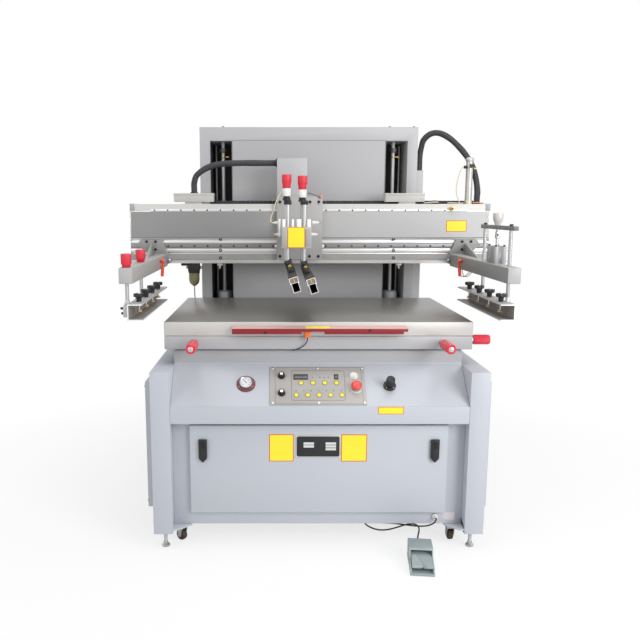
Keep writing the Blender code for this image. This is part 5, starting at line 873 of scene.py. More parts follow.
for side, x in (("left", (-0.87, -0.848)), ("right", (0.848, 0.87))):
    fitted(block("beam_end_cap_" + side, x, (0.3015, 0.4255), (1.3045, 1.3385), 0.0012), "head", enamel_dark)
for side, x in (("left", (-0.8712, -0.869)), ("right", (0.869, 0.8712))):
    fitted(block("beam_end_plate_" + side, x, (0.306, 0.4245), (1.053, 1.304), 0.0008), "head", enamel_dark)
    fitted(repeated("end_plate_bolts_" + side, socket_screw(0.0055, 0.004, (math.copysign(1, x[0]), 0, 0)),
        [(math.copysign(0.8708, x[0]), y, z) for y in (0.325, 0.405) for z in (1.08, 1.275)]), "head", black_oxide)
front_label("beam_label", (0.66, 0.758), (1.205, 1.259), 0.301, "head", 0.0028)
fitted(block("beam_rear_cover", (-0.39, 0.39), (0.4245, 0.4268), (1.09, 1.3), 0.001), "head", cover_metal)
tap = turned("drain_tap", [(0, 0), (0.007, 0), (0.007, 0.006), (0.0105, 0.006), (0.0105, 0.013), (0.005, 0.013),
    (0.005, 0.02), (0, 0.02)], foot=(0.683, 0.3035, 1.315), facing=FORWARD, sides=6, edge=0.0006)
handle = block("tap_handle", (0.669, 0.702), (0.2835, 0.289), (1.311, 1.32), 0.0012)
fitted(joined("brass_tap", [tap, handle]), "head", brass)
lift_metal = finish("lift_metal", (150, 152, 156), 0.4, metallic=0.6, drift=0.08, drift_size=12, relief=0.08)
for side, sign in SIDES:
    softened("lift_block_" + side, lift_metal, 0.0012)
    cup = turned("level_cup", [(0, 0), (0.0125, 0), (0.0135, -0.003), (0.0135, -0.01), (0.01, -0.013),
        (0.0045, -0.014), (0.0045, -0.0195), (0, -0.0195)], foot=(sign * 0.44, 0.33, 1.052), facing=UP, sides=26)
    bead = turned("level_bead", [(0, -0.019), (0.004, -0.02), (0.0058, -0.0245), (0.004, -0.029), (0, -0.03)],
        foot=(sign * 0.44, 0.33, 1.052), sides=20)
    fitted(cup, "head", nylon_white)
    fitted(bead, "head", zinc)
    cup.name, bead.name = "level_cup_" + side, "level_bead_" + side

# On top of the beam: a flat black brush seal behind the carriage, and the two hose boxes, folded
# sheet with a lid seam and one screw each on a narrower foot.
brush_black = finish("brush_black", (44, 45, 48), 0.75, drift=0.3, drift_size=80, grain=900, stretch=(1, 0.1, 1),
    relief=0.3)
seal_ribs = [block("brush_rail", (-0.49, 0.845), (0.379, 0.3985), (1.3368, 1.342), 0.0008)]
bristles = block("bristles", (-0.0105, 0.0105), (0.381, 0.3965), (1.3418, 1.3535), 0.002)
seal_ribs.append(repeated("bristle_rows", bristles, [(-0.478 + 0.022 * i, 0, 0) for i in range(60)]))
fitted(joined("brush_seal", seal_ribs), "head", brush_black)
box_paint = finish("box_paint", (188, 187, 183), 0.45, drift=0.03, drift_size=4, grain=800, relief=0.12, coat=0.1)
for side, feet_x in (("left", (-0.6059, -0.5236)), ("right", (0.432, 0.513))):
    low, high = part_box("hose_box_" + side)
    box_piece = joined("hose_box_body_" + side, [block("box", (low.x, high.x), (low.y, high.y), (1.3475, high.z),
        0.0014), block("foot", feet_x, (low.y + 0.006, high.y - 0.006), (low.z, 1.348), 0.0008)])
    fitted(box_piece, "head", box_paint, ["hose_box_" + side])
    fitted(profile("box_lid_" + side, [(low.x - 0.0012, high.z - 0.01), (high.x + 0.0012, high.z - 0.01),
        (high.x + 0.0012, high.z + 0.0008), (low.x - 0.0012, high.z + 0.0008)], "Y",
        (low.y - 0.0012, high.y + 0.0012), 0.001), "head", box_paint)
    fitted(block("box_foot_" + side, (feet_x[0] - 0.006, feet_x[1] + 0.006), (low.y - 0.006, high.y),
        (1.3366, 1.3386), 0.0008), "head", box_paint)
    screw_places = [((low.x + high.x) / 2 - 0.02, low.y - 0.0003, 1.368)] if side == "left" else [(low.x + 0.178,
        low.y - 0.0003, 1.364)]
    fitted(repeated("box_screw_" + side, socket_screw(0.004, 0.003, FORWARD), screw_places), "head", zinc)

# The two hoses: black braided sleeves over the cables, kinked a little where they are tied. One runs
# from the left box to the riser, the other from the column's duct over to the beam's right end.
braid = finish("braided_sleeve", (64, 65, 68), 0.7, drift=0.95, drift_size=230, grain=420, relief=0.7, wear=0.6)


def sleeve(name, route, radius, node):
    """A braided sleeve along its route, slightly flattened and knotted between its ties."""
    stops = smooth_line(route, 0.004)
    tube = line_of(name, stops, radius, 5, lambda i: 1.0 + 0.035 * math.sin(i * 2.2) + 0.03 * math.sin(i * 0.23))
    only(tube)
    bpy.ops.object.convert(target="MESH")
    tube = bpy.context.object
    bpy.ops.object.shade_smooth_by_angle(angle=math.radians(60))
    tube.data.materials.append(braid)
    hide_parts(node)
    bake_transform(tube)
    return tube


sleeve("beam_sleeve", [(-0.562, 0.352, 1.3883), (-0.562, 0.352, 1.415), (-0.562, 0.352, 1.435),
    (-0.552, 0.35, 1.468), (-0.527, 0.346, 1.492), (-0.485, 0.342, 1.514), (-0.43, 0.338, 1.526),
    (-0.34, 0.33, 1.5305), (-0.24, 0.328, 1.5305), (-0.2, 0.328, 1.5305), (-0.1603, 0.328, 1.5305)], 0.0142,
    "beam_hose")
sleeve("column_sleeve", [(0.562, 0.52, 1.5053), (0.562, 0.52, 1.54), (0.562, 0.52, 1.575), (0.5677, 0.5141, 1.618),
    (0.5763, 0.5, 1.655), (0.6078, 0.482, 1.682), (0.6478, 0.462, 1.682), (0.6933, 0.444, 1.656),
    (0.7333, 0.4281, 1.617), (0.7648, 0.414, 1.578), (0.7934, 0.3999, 1.53), (0.8134, 0.384, 1.465),
    (0.822, 0.375, 1.405), (0.822, 0.375, 1.37), (0.822, 0.375, 1.3373)], 0.0145, "column_hose")
for name, body, rim, foot, facing in (("hose_ring_box", "head", 0.019, (-0.562, 0.352, 1.388), UP),
        ("hose_ring_deck", "head", 0.02, (0.822, 0.375, 1.337), UP), ("hose_ring_riser", "carriage", 0.019,
        (-0.16, 0.328, 1.5305), (-1, 0, 0))):
    fitted(turned(name, [(0.0146, 0), (rim, 0), (rim, 0.005), (0.016, 0.0065), (0.0146, 0.0065), (0.0146, 0)],
        foot=foot, facing=facing, sides=32), body, latch_black)

# The short air cylinder that stands on the beam's right end: a drawn aluminium barrel between two
# caps, with a throttle knob, brass fittings and a thin polyurethane tube. Four loose tubes lie on
# the deck beside it.
barrel_metal = finish("barrel_metal", (190, 187, 184), 0.34, metallic=0.45, drift=0.07, drift_size=12,
    stretch=(1, 1, 0.03), relief=0.06)
tube_beige = finish("tube_beige", (214, 200, 172), 0.4, drift=0.06, drift_size=40, grain=300, relief=0.03, coat=0.2)
copper = finish("copper", (196, 128, 88), 0.32, metallic=0.85, drift=0.1, drift_size=40)
RAM = (0.7765, 0.365)
fitted(turned("ram_barrel", [(0, 1.3373), (0.0198, 1.3373), (0.02, 1.339), (0.02, 1.353), (0.0188, 1.3552),
    (0.0168, 1.3556), (0.0168, 1.54), (0.019, 1.5404), (0.02, 1.542), (0.02, 1.553), (0.017, 1.558), (0.011, 1.56),
    (0, 1.56)], foot=(*RAM, 0), sides=40), "head", barrel_metal, ["air_ram"])
knob = fluted("ram_throttle", (0.78, 0.346, 1.519), FORWARD, [0.0075, 0.0095, 0.01, 0.01, 0.0085],
    [0, 0.001, 0.003, 0.011, 0.0125], 12, 0.0008, 60)
stub = turned("ram_silencer", [(0, 0), (0.006, 0), (0.0075, 0.003), (0.0075, 0.012), (0.0055, 0.015), (0, 0.015)],
    foot=(0.76, 0.352, 1.513), facing=(-1, 0, 0), sides=20)
fitted(joined("ram_knobs", [knob, stub]), "head", latch_black)
ram_brass = [turned("fitting", [(0, 0), (0.0055, 0), (0.0055, 0.006), (0.004, 0.006), (0.004, 0.013), (0, 0.013)],
    foot=(0.795, 0.358, 1.506), facing=(1, 0, 0), sides=6, edge=0.0005),
    turned("fitting", [(0, 0), (0.006, 0), (0.006, 0.007), (0.0045, 0.007), (0.0045, 0.01), (0, 0.01)],
    foot=(0.765, 0.349, 1.344), facing=FORWARD, sides=6, edge=0.0005)]
fitted(joined("ram_fittings", ram_brass), "head", brass)
wire("ram_elbow", [(0.796, 0.352, 1.345), (0.806, 0.352, 1.345), (0.822, 0.352, 1.344), (0.833, 0.35, 1.342),
    (0.84, 0.346, 1.341), (0.848, 0.342, 1.341)], 0.004, 0.0032, copper, "head")
wire("ram_tube", [(0.747, 0.352, 1.513), (0.74, 0.352, 1.512), (0.73, 0.352, 1.495), (0.718, 0.352, 1.45),
    (0.7142, 0.352, 1.4043), (0.72, 0.354, 1.375), (0.729, 0.356, 1.355), (0.734, 0.358, 1.34)], 0.006, 0.0024,
    tube_beige, "head")
for i, (shift, lift, tint) in enumerate(((0, 0.0026, tube_beige), (0.01, 0.003, cable_rubber),
        (-0.008, 0.0026, tube_beige), (0.004, 0.008, cable_rubber))):
    wire("deck_tube_{}".format(i), [(0.557, 0.352 + shift, 1.34 + lift), (0.566, 0.352 + shift, 1.34 + lift),
        (0.61, 0.344 + shift, 1.344 + lift), (0.65, 0.352 - shift, 1.34 + lift), (0.69, 0.346 + shift, 1.34 + lift),
        (0.728, 0.358 + shift / 2, 1.3385 + lift), (0.748, 0.362 + shift / 2, 1.3385 + lift),
        (0.756, 0.365, 1.34 + lift)], 0.008, 0.0025, tint, "head")

# The air filter under the beam: a black head on a bracket with an olive bowl in its ribbed guard
# and a drain tube.
bowl_bronze = finish("bowl_bronze", (128, 120, 84), 0.3, metallic=0.35, drift=0.2, drift_size=25, grain=300,
    relief=0.06, coat=0.3)
low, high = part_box("air_filter")
bowl_x, bowl_y = (low.x + high.x) / 2, (low.y + high.y) / 2
fitted(fluted("filter_bowl", (bowl_x, bowl_y, 0), UP, [0.006, 0.007, 0.014, 0.0225, 0.025, 0.0262, 0.0262],
    [0.9372, 0.938, 0.944, 0.953, 0.962, 0.97, 1.01], 12, 0.0022, 72), "head", bowl_bronze,
    ["air_filter"])
head_block = block("filter_head", (bowl_x - 0.0278, bowl_x + 0.0278), (bowl_y - 0.0278, bowl_y + 0.0278),
    (1.01, 1.0517), 0.003, 3)
filter_arm = block("filter_bracket", (bowl_x - 0.062, bowl_x - 0.027), (bowl_y - 0.018, bowl_y + 0.018),
    (1.038, 1.0517), 0.002)
guard_ring = turned("filter_ring", [(0.0262, 0), (0.0285, 0), (0.0285, 0.0075), (0.0262, 0.0075), (0.0262, 0)],
    foot=(bowl_x, bowl_y, 1.002), sides=36)
fitted(joined("filter_frame", [head_block, filter_arm, guard_ring]), "head", latch_black)
ports = [turned("port", [(0, 0), (0.0075, 0), (0.0075, 0.008), (0.005, 0.008), (0.005, 0.012), (0, 0.012)],
    foot=(bowl_x + side * 0.0278, bowl_y, 1.029), facing=(side, 0, 0), sides=6, edge=0.0006) for side in (-1, 1)]
fitted(joined("filter_ports", ports), "head", brass)
wire("filter_drain", [(bowl_x, bowl_y + 0.002, 0.9385), (bowl_x, bowl_y + 0.002, 0.93),
    (bowl_x, bowl_y + 0.004, 0.9), (bowl_x + 0.001, bowl_y + 0.008, 0.87), (bowl_x + 0.002, bowl_y + 0.01, 0.845),
    (bowl_x + 0.002, bowl_y + 0.01, 0.838)], 0.008, 0.0026, dull_steel, "head")

# The squeegee carriage: an enamelled plate on the beam's rail with a folded riser behind it, and the
# cantilever that carries the lift case forward over the table.
plate_grey = finish("plate_grey", (164, 163, 161), 0.44, drift=0.04, drift_size=4, grain=900, relief=0.12, coat=0.1,
    wear=0.05)
softened("carriage_plate", plate_grey, 0.0012)
softened("riser_box", column_grey, 0.0016)
softened("cantilever", enamel_dark, 0.0016)
softened("lift_case", column_grey, 0.0016)
fitted(repeated("plate_bolts", socket_screw(0.0068, 0.005, FORWARD), [(x, 0.2652, z)
    for x, z in ((-0.1454, 1.3464), (-0.0023, 1.3464), (0.0401, 1.3464), (-0.1454, 1.0889), (-0.0027, 1.0885),
    (0.0403, 1.0885))]), "carriage", black_oxide)
wipers = [turned("wiper", [(0, 0), (0.0085, 0), (0.0085, 0.008), (0.0065, 0.011), (0, 0.011)],
    foot=(x, 0.285, 1.135), facing=(side, 0, 0), sides=24) for side, x in ((-1, -0.1605), (1, 0.0585))]
fitted(joined("rail_wipers", wipers), "carriage", nylon_white)
wiper_caps = [turned("cap", [(0, 0.011), (0.005, 0.011), (0.005, 0.016), (0.0035, 0.0175), (0, 0.0175)],
    foot=(x, 0.285, 1.135), facing=(side, 0, 0), sides=20) for side, x in ((-1, -0.1605), (1, 0.0585))]
fitted(joined("rail_wiper_caps", wiper_caps), "carriage", latch_black)
fitted(block("carriage_sensor", (0.04, 0.054), (0.258, 0.272), (1.364, 1.379), 0.001), "carriage", copper)
wire("carriage_wire", [(0.04, 0.265, 1.372), (0.034, 0.265, 1.3725), (0.02, 0.268, 1.379), (0, 0.276, 1.386),
    (-0.012, 0.284, 1.388), (-0.017, 0.29, 1.388)], 0.004, 0.0014, cable_rubber, "carriage")
fitted(block("riser_cap", (-0.161, -0.014), (0.2765, 0.3732), (1.5505, 1.5535), 0.0012), "carriage", column_grey)
front_label("case_label", (-0.119, -0.049), (1.158, 1.2405), -0.3352, "carriage", 0.0024)
case_ribs = [block("rib", x, (-0.339, -0.235), (1.165, 1.234), 0.0014)
    for x in ((-0.1415, -0.122), (-0.046, -0.0245))]
fitted(joined("case_ribs", case_ribs), "carriage", plate_grey)
case_tubes = [turned("cap", [(0, 1.2405), (wide, 1.2405), (wide, 1.269), (wide - 0.0012, 1.271), (0, 1.271)],
    foot=(x, -0.32, 0), sides=28) for x, wide in ((-0.1335, 0.0068), (-0.0979, 0.004), (-0.073, 0.0095),
    (-0.033, 0.0075))]
case_tubes.append(block("side_bar", (-0.1545, -0.146), (-0.306, -0.296), (1.2014, 1.272), 0.0016))
fitted(joined("case_tubes", case_tubes), "carriage", finish("tube_white", (246, 246, 243), 0.4, drift=0.03,
    drift_size=3, grain=300))
CASE_PORTS = ((-1, -0.15, 1.257), (-1, -0.143, 1.21), (1, -0.018, 1.257), (1, -0.023, 1.21))
air_fittings = [turned("fitting", [(0, 0), (0.007, 0), (0.007, 0.007), (0.0058, 0.0085), (0.0058, 0.02),
    (0.0034, 0.022), (0.0024, 0.029), (0, 0.029)], foot=(x, -0.285, z), facing=(side, 0, 0), sides=20)
    for side, x, z in CASE_PORTS]
fitted(joined("case_fittings", air_fittings), "carriage", nylon_white)
needles = [turned("needle", [(0, 0.029), (0.003, 0.029), (0.003, 0.035), (0, 0.035)], foot=(x, -0.285, z),
    facing=(side, 0, 0), sides=8) for side, x, z in CASE_PORTS]
fitted(joined("case_needles", needles), "carriage", brass)
wire("case_air_line", [(-0.183, -0.285, 1.257), (-0.186, -0.28, 1.262), (-0.185, -0.26, 1.278),
    (-0.174, -0.17, 1.308), (-0.168, -0.07, 1.332), (-0.156, 0.09, 1.362), (-0.144, 0.22, 1.386),
    (-0.1385, 0.268, 1.3925), (-0.1385, 0.278, 1.393)], 0.01, 0.0024, tube_beige, "carriage")

# The two bar lifts: ground rods through the case under a black bridge, a white collar and a red press
# knob on top, and at the bottom a black yoke whose pin lets the bar tilt. Both bars lean 18 degrees.
LEAN = math.radians(18)
ACROSS, DOWN = Vector((math.cos(LEAN), math.sin(LEAN))), Vector((math.sin(LEAN), -math.cos(LEAN)))
LIFTS = {"flood": (-0.118, Vector((-0.11, 1.084)), 0.0155), "squeegee": (-0.051, Vector((-0.046, 1.08)), 0.011)}


def leaning(pivot, outline):
    """An outline measured across and down the bars' lean, from a bar's pivot."""
    return [pivot + ACROSS * a + DOWN * b for a, b in outline]


for label, (x, pivot, left) in LIFTS.items():
    node = label + "_lift"
    fitted(repeated(label + "_rods", turned("rod", [(0, 1.1), (0.0078, 1.1), (0.0078, 1.34), (0, 1.34)], sides=24),
        [(x, -0.31, 0), (x - 0.007, -0.262, 0)]), node, rod_grey, [node])
    fitted(block(label + "_bridge", (x - 0.015, x + 0.015), (-0.321, -0.251), (1.329, 1.345), 0.0016), node,
        latch_black)
    knob_foot = (x - 0.0047, -0.31, 0) if label == "flood" else (x - 0.0085, -0.31, -0.005)
    fitted(turned(label + "_ring", [(0, 1.345), (0.016, 1.345), (0.016, 1.3535), (0.013, 1.356), (0.013, 1.362),
        (0, 1.362)], foot=knob_foot, sides=28), node, latch_black)
    fitted(turned(label + "_collar", [(0, 1.362), (0.016, 1.362), (0.0168, 1.3635), (0.0168, 1.3905),
        (0.016, 1.3925), (0, 1.3925)], foot=knob_foot, sides=36), node, nylon_white)
    fitted(fluted(label + "_knob", knob_foot, UP, [0.0158, 0.0164, 0.0168, 0.0174, 0.0188, 0.0195, 0.0195, 0.019,
        0.015], [1.3925, 1.3935, 1.409, 1.411, 1.414, 1.4165, 1.442, 1.446, 1.447], 18, 0.0009, 90), node, red_grip)
    cheek_outline = leaning(pivot, [(-left, 0.0085), (-left + 0.003, 0.0118), (0.012, 0.0118), (0.015, 0.0085),
        (0.0155, -0.021), (0.0125, -0.024), (-left + 0.0025, -0.024), (-left - 0.0005, -0.021)])
    cheeks = [profile("cheek", cheek_outline, "Y", span, 0.0014) for span in ((-0.3265, -0.2985),
        (-0.2735, -0.2455))]
    yoke_saddle = leaning(pivot, [(-left + 0.0005, -0.0232), (0.0148, -0.0232), (0.0148, -0.0135),
        (-left + 0.0005, -0.0135)])
    cheeks.append(profile("saddle", yoke_saddle, "Y", (-0.3255, -0.2465), 0.0014))
    fitted(joined(label + "_yoke", cheeks), node, latch_black)
    fitted(turned(label + "_pin", [(0, -0.002), (0.004, -0.002), (0.004, 0.08), (0.0066, 0.0802), (0.0066, 0.0835),
        (0.003, 0.0845), (0, 0.0838)], foot=(pivot.x, -0.246, pivot.y), facing=FORWARD, sides=24), node, brass)
    lock_place = pivot - ACROSS * (left - 0.006) - DOWN * 0.016
    fitted(fluted(label + "_lock", (lock_place.x, -0.3262, lock_place.y), FORWARD,
        [0.005, 0.0074, 0.0078, 0.0078, 0.0062], [0, 0.001, 0.003, 0.01, 0.0112], 8, 0.0008, 48), node, black_oxide)

# The flood bar and the squeegee: extruded aluminium holders, each a channel over a hollow tube under
# a black saddle, with bright cut ends and a brass screw in the front one.
holder_metal = finish("holder_metal", (176, 175, 176), 0.32, metallic=0.7, drift=0.07, drift_size=8, grain=420,
    stretch=(1, 0.02, 1), relief=0.08)
cut_metal = finish("cut_metal", (236, 235, 233), 0.4, metallic=0.15, drift=0.04, drift_size=60, grain=500,
    relief=0.08)
# Painted shade: a darker brownish copy for the inside of the holders' hollow tubes.
hollow_painted_shade = finish("hollow_painted_shade", (140, 130, 122), 0.6, metallic=0.2, drift=0.2, drift_size=20, relief=0.06)
for label, (x, pivot, left) in LIFTS.items():
    node = "flood_bar" if label == "flood" else "squeegee"
    holder = softened(node, holder_metal, 0.0004, 1)
    holder.data.materials.append(cut_metal)
    holder.data.materials.append(hollow_painted_shade)
    holder.data.materials.append(latch_black)
    low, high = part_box(node)
    for face in holder.data.polygons:
        place = Vector((face.center.x, face.center.z)) - pivot
        facing = Vector((face.normal.x, face.normal.z))
        side, down = place.dot(ACROSS), place.dot(DOWN)
        cavity = 0.059 if down > 0.042 else 0.036
        inward = side * facing.dot(ACROSS) + (down - cavity) * facing.dot(DOWN) < -0.002
        if down < 0.0205 and (face.normal.y > -0.85 or down < 0.018):
            face.material_index = 3
        elif abs(face.normal.y) > 0.85:
            ends = face.center.y < low.y + 0.002 or face.center.y > high.y - 0.002
            face.material_index = 1 if ends else (2 if down > 0.022 else 0)
        elif inward and down > 0.021:
            face.material_index = 2
    saddle_outline = leaning(pivot, [(-0.0165, 0.0202), (0.0165, 0.0202), (0.0165, 0.0168), (-0.0165, 0.0168)])
    block_outline = leaning(pivot, [(-0.01, 0.018), (0.011, 0.018), (0.011, 0.004), (-0.01, 0.004)])
    saddle = [profile("saddle", saddle_outline, "Y", (-0.6215, -0.05), 0.0008),
        profile("saddle_block", block_outline, "Y", (-0.43, -0.342), 0.0014)]
    fitted(joined(node + "_saddle", saddle), node, latch_black)
    # A plate of painted shade a few millimetres inside the tube's front end closes its opening.
    shade_plug_outline = leaning(pivot, [(-0.0138, 0.0398), (0.0138, 0.0398), (0.0138, 0.0232), (-0.0138, 0.0232)])
    fitted(profile(node + "_plug", shade_plug_outline, "Y", (-0.619, -0.615), 0.0002, 1), node, hollow_painted_shade)
    top, foot = pivot + DOWN * 0.024, pivot + DOWN * 0.0385
    screw = line_of(node + "_screw", [(top.x, -0.6205, top.y), (foot.x, -0.6205, foot.y)], 0.0021)
    screw.data.materials.append(brass)
    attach(screw, node)

# The screen arms: box-section steel on a six-sided plate that is clamped to the beam, with a gusset.
# The left arm carries two red height knobs, the right one the air cylinder that peels the screen.
arm_paint = finish("arm_paint", (172, 169, 166), 0.45, drift_size=3, grain=900, relief=0.12, wear=0.05)
arm_painted_shade = finish("arm_painted_shade", (142, 143, 141), 0.45, drift_size=3, grain=900, relief=0.12, wear=0.05)
HANGER_X = 0.717
HANGER_YS = {"left": (-0.59, -0.295), "right": (-0.517, -0.172)}
PEEL_FOOT = (HANGER_X, -0.345, 0)
ARM_HEX = [(0, 1.0445), (0.1197, 1.14), (0.104, 1.167), (0.003, 1.167), (-0.038, 1.077), (-0.034, 1.052)]
for side, sign in SIDES:
    x = -0.717 if side == "left" else 0.707
    body = "arm_" + side
    beam_box = block("arm_box_" + side, (x - 0.025, x + 0.025), (-0.615, 0.294), (1.04, 1.099), 0.0035, 3)
    hanger_ys = HANGER_YS[side]
    drills = [turned("drill", [(0, 1.03), (0.0082, 1.03), (0.0082, 1.11), (0, 1.11)], foot=(sign * HANGER_X, y, 0),
        sides=24) for y in hanger_ys]
    cut(beam_box, *drills)
    plate = profile("arm_plate_" + side, [(x + sign * a, b) for a, b in ARM_HEX], "Y", (0.2927, 0.3046), 0.0012)
    gusset = profile("arm_gusset_" + side, [(0.004, 1.093), (0.004, 1.1506), (-0.36, 1.1), (-0.36, 1.093)], "X",
        (-0.004, 0.004), 0.001)
    placed(gusset, Matrix.Translation((x + sign * 0.05, 0.2927, 0)) @ Matrix.Rotation(-sign
        * math.atan2(0.033, 0.36), 4, "Z"))
    arm = joined("arm_dressed_" + side, [beam_box, plate, gusset])
    fitted(arm, body, arm_paint, [body])
    # Painted shade: the right arm's inner side and the plates' front faces get a darker copy of the arm paint.
    repainted(arm, arm_painted_shade, lambda face: side == "right" and face.normal.x < -0.7
        or face.normal.y < -0.7 and face.center.y > 0.28)
    fitted(block("arm_end_" + side, (x - 0.0235, x + 0.0235), (-0.6165, -0.614), (1.042, 1.097), 0.0015), body,
        column_grey)
    bolt_places = [(x + sign * out, 0.2926, z) for out, z in ((0.074, 1.158), (0.031, 1.158), (0.0318, 1.12))]
    fitted(repeated("arm_plate_bolts_" + side, socket_screw(0.0062, 0.005, FORWARD), bolt_places), body,
        black_oxide)
    fitted(turned("arm_clamp_bolt_" + side, [(0, 0), (0.008, 0), (0.008, 0.005), (0.005, 0.005), (0.005, 0.014),
        (0.0035, 0.015), (0, 0.015)], foot=(x - sign * 0.033, 0.2926, 1.068), facing=FORWARD, sides=6, edge=0.0006),
        body, chrome)
for tag, y in zip(("front", "rear"), HANGER_YS["left"]):
    fitted(fluted("height_knob_" + tag, (-HANGER_X, y, 0), UP, [0.015, 0.0156, 0.0162, 0.018, 0.0192, 0.0196,
        0.0196, 0.019, 0.016], [1.099, 1.1, 1.108, 1.1105, 1.113, 1.116, 1.144, 1.1485, 1.15], 20, 0.001, 100),
        "arm_left", red_grip)
    fitted(turned("height_boss_" + tag, [(0, 1.1535), (0.005, 1.153), (0.0072, 1.15), (0.0072, 1.149), (0, 1.149)],
        foot=(-HANGER_X, y, 0), sides=20), "arm_left", chrome)
cylinder_metal = finish("cylinder_metal", (166, 167, 169), 0.46, metallic=0.25, drift_size=14, stretch=(1, 1, 0.04),
    relief=0.07)
case_outline = []
for i, middle in enumerate(((0.735, -0.296), (0.699, -0.296), (0.699, -0.394), (0.735, -0.394))):
    case_outline += arc(middle, 0.006, 90 * i, 90 * i + 90, 30)
peel_case = profile("peel_cylinder", case_outline, "Z", (1.0985, 1.166), 0.001)
peel_grooves = [block("groove", x, y, (1.09, 1.17), 0) for x, y in (((0.691, 0.695), (-0.35, -0.34)),
    ((0.739, 0.743), (-0.35, -0.34)), ((0.712, 0.722), (-0.402, -0.398)), ((0.712, 0.722), (-0.292, -0.288)))]
piston_drill = turned("drill", [(0, 1.1015), (0.0066, 1.1015), (0.0066, 1.18), (0, 1.18)], foot=PEEL_FOOT, sides=24)
fitted(cut(peel_case, *peel_grooves, piston_drill), "arm_right", cylinder_metal)
fitted(repeated("peel_bolts", socket_screw(0.0048, 0.006, UP), [(x, y, 1.1658) for x in (0.7005, 0.7335)
    for y in (-0.39, -0.3)]), "arm_right", black_oxide)
peel_throttle = [turned("throttle", [(0, 0), (0.006, 0), (0.006, 0.006), (0.0045, 0.007), (0.0045, 0.015),
    (0, 0.015)], foot=(0.741, -0.375, z), facing=(1, 0, 0), sides=20) for z in (1.112, 1.152)]
fitted(joined("peel_throttles", peel_throttle), "arm_right", zinc)
for shift in (0, 0.012):
    wire("peel_line_{:.0f}".format(shift * 1000), [(0.7 + shift, 0.17, 1.042), (0.7 + shift, 0.168, 1.036),
        (0.696 + shift, 0.14, 1.018), (0.69 + shift, 0.08, 1.008), (0.692 + shift, 0.03, 1.013),
        (0.7 + shift, -0.01, 1.033), (0.702 + shift, -0.016, 1.042)], 0.008, 0.0022, tube_beige, "arm_right")

# The screen clamps: enamelled channels that open inward, each with four lobed black knobs whose
# screws press pads on the screen's frame. Rods hang them from the arms by silver blocks.
clamp_paint = finish("clamp_paint", (174, 172, 170), 0.45, metallic=0.1, drift=0.06, drift_size=6, grain=600,
    relief=0.1)
# Painted shade: a darker copy of the clamp paint for the channel's inner wall and floor.
clamp_inside_painted_shade = finish("clamp_inside_painted_shade", (138, 133, 128), 0.5, drift=0.1, drift_size=12, grain=600, relief=0.12)
pad_tan = finish("pad_tan", (196, 170, 136), 0.5, drift=0.08, drift_size=60, grain=300, relief=0.06)
for side, sign in SIDES:
    body = "clamp_" + side
    outer, inner = sign * 0.7097, sign * 0.655
    wall = sign * 0.0048
    channel_outline = [(inner, 0.9072), (outer, 0.9072), (outer, 0.968), (inner, 0.968), (inner, 0.9632),
        (outer - wall, 0.9632), (outer - wall, 0.912), (inner, 0.912)]
    channel = profile("clamp_channel_" + side, channel_outline, "Y", (-0.642, 0.008), 0.0008)
    fitted(channel, body, clamp_paint, [body])
    channel.data.materials.append(cut_metal)
    channel.data.materials.append(clamp_inside_painted_shade)
    for face in channel.data.polygons:
        if abs(face.normal.y) > 0.9 and abs(face.center.y + 0.317) > 0.32:
            face.material_index = 1
        elif (sign * face.normal.x < -0.7 and abs(face.center.x) > 0.69
                or face.normal.z > 0.7 and face.center.z < 0.92):
            face.material_index = 2
    knob_places = [(sign * 0.68, y, 0) for y in (-0.557, -0.405, -0.255, -0.103)]
    star = fluted("star", (0, 0, 0), UP, [0.008, 0.0092, 0.0105, 0.0192, 0.0207, 0.0207, 0.0197, 0.011],
        [0.969, 0.97, 0.984, 0.9868, 0.9885, 0.9965, 0.9992, 0.999], 6, 0.0022, 72)
    fitted(repeated("star_knobs_" + side, star, knob_places), body, latch_black)
    screw = turned("screw", [(0, 0.936), (0.004, 0.936), (0.004, 1.001), (0.0034, 1.0035), (0, 1.0035)], sides=20)
    fitted(repeated("clamp_screws_" + side, screw, knob_places), body, zinc)
    pad = turned("pad", [(0, 0.9302), (0.0095, 0.9302), (0.01, 0.9312), (0.01, 0.9345), (0.008, 0.9362),
        (0.0055, 0.94), (0, 0.94)], sides=24)
    fitted(repeated("clamp_pads_" + side, pad, knob_places), body, pad_tan)
    hanger_ys = HANGER_YS[side]
    hanger_places = [(sign * HANGER_X, y, 0) for y in hanger_ys]
    rod_top = 1.103 if side == "left" else 1.236
    fitted(repeated("hanger_rods_" + side, turned("rod", [(0, 0.95), (0.007, 0.95), (0.007, rod_top), (0, rod_top)],
        sides=24), hanger_places), body, rod_grey)
    fitted(repeated("hanger_nuts_" + side, turned("nut", [(0, 0.96), (0.0115, 0.96), (0.0115, 0.969),
        (0.0085, 0.971), (0.0085, 0.979), (0, 0.979)], sides=6, edge=0.0006), hanger_places), body, zinc)
    hanger_block = block("hanger_block", (min(sign * 0.707, sign * 0.731), max(sign * 0.707, sign * 0.731)),
        (-0.018, 0.018), (0.915, 0.96), 0.0016)
    fitted(repeated("hanger_blocks_" + side, hanger_block, [(0, y, 0) for y in hanger_ys]), body, edge_steel)
    fitted(repeated("hanger_screws_" + side, socket_screw(0.0048, 0.011, (sign, 0, 0)),
        [(sign * 0.731, y + shift, z) for y in hanger_ys for shift, z in ((-0.006, 0.948), (0.004, 0.928))]), body,
        black_oxide)

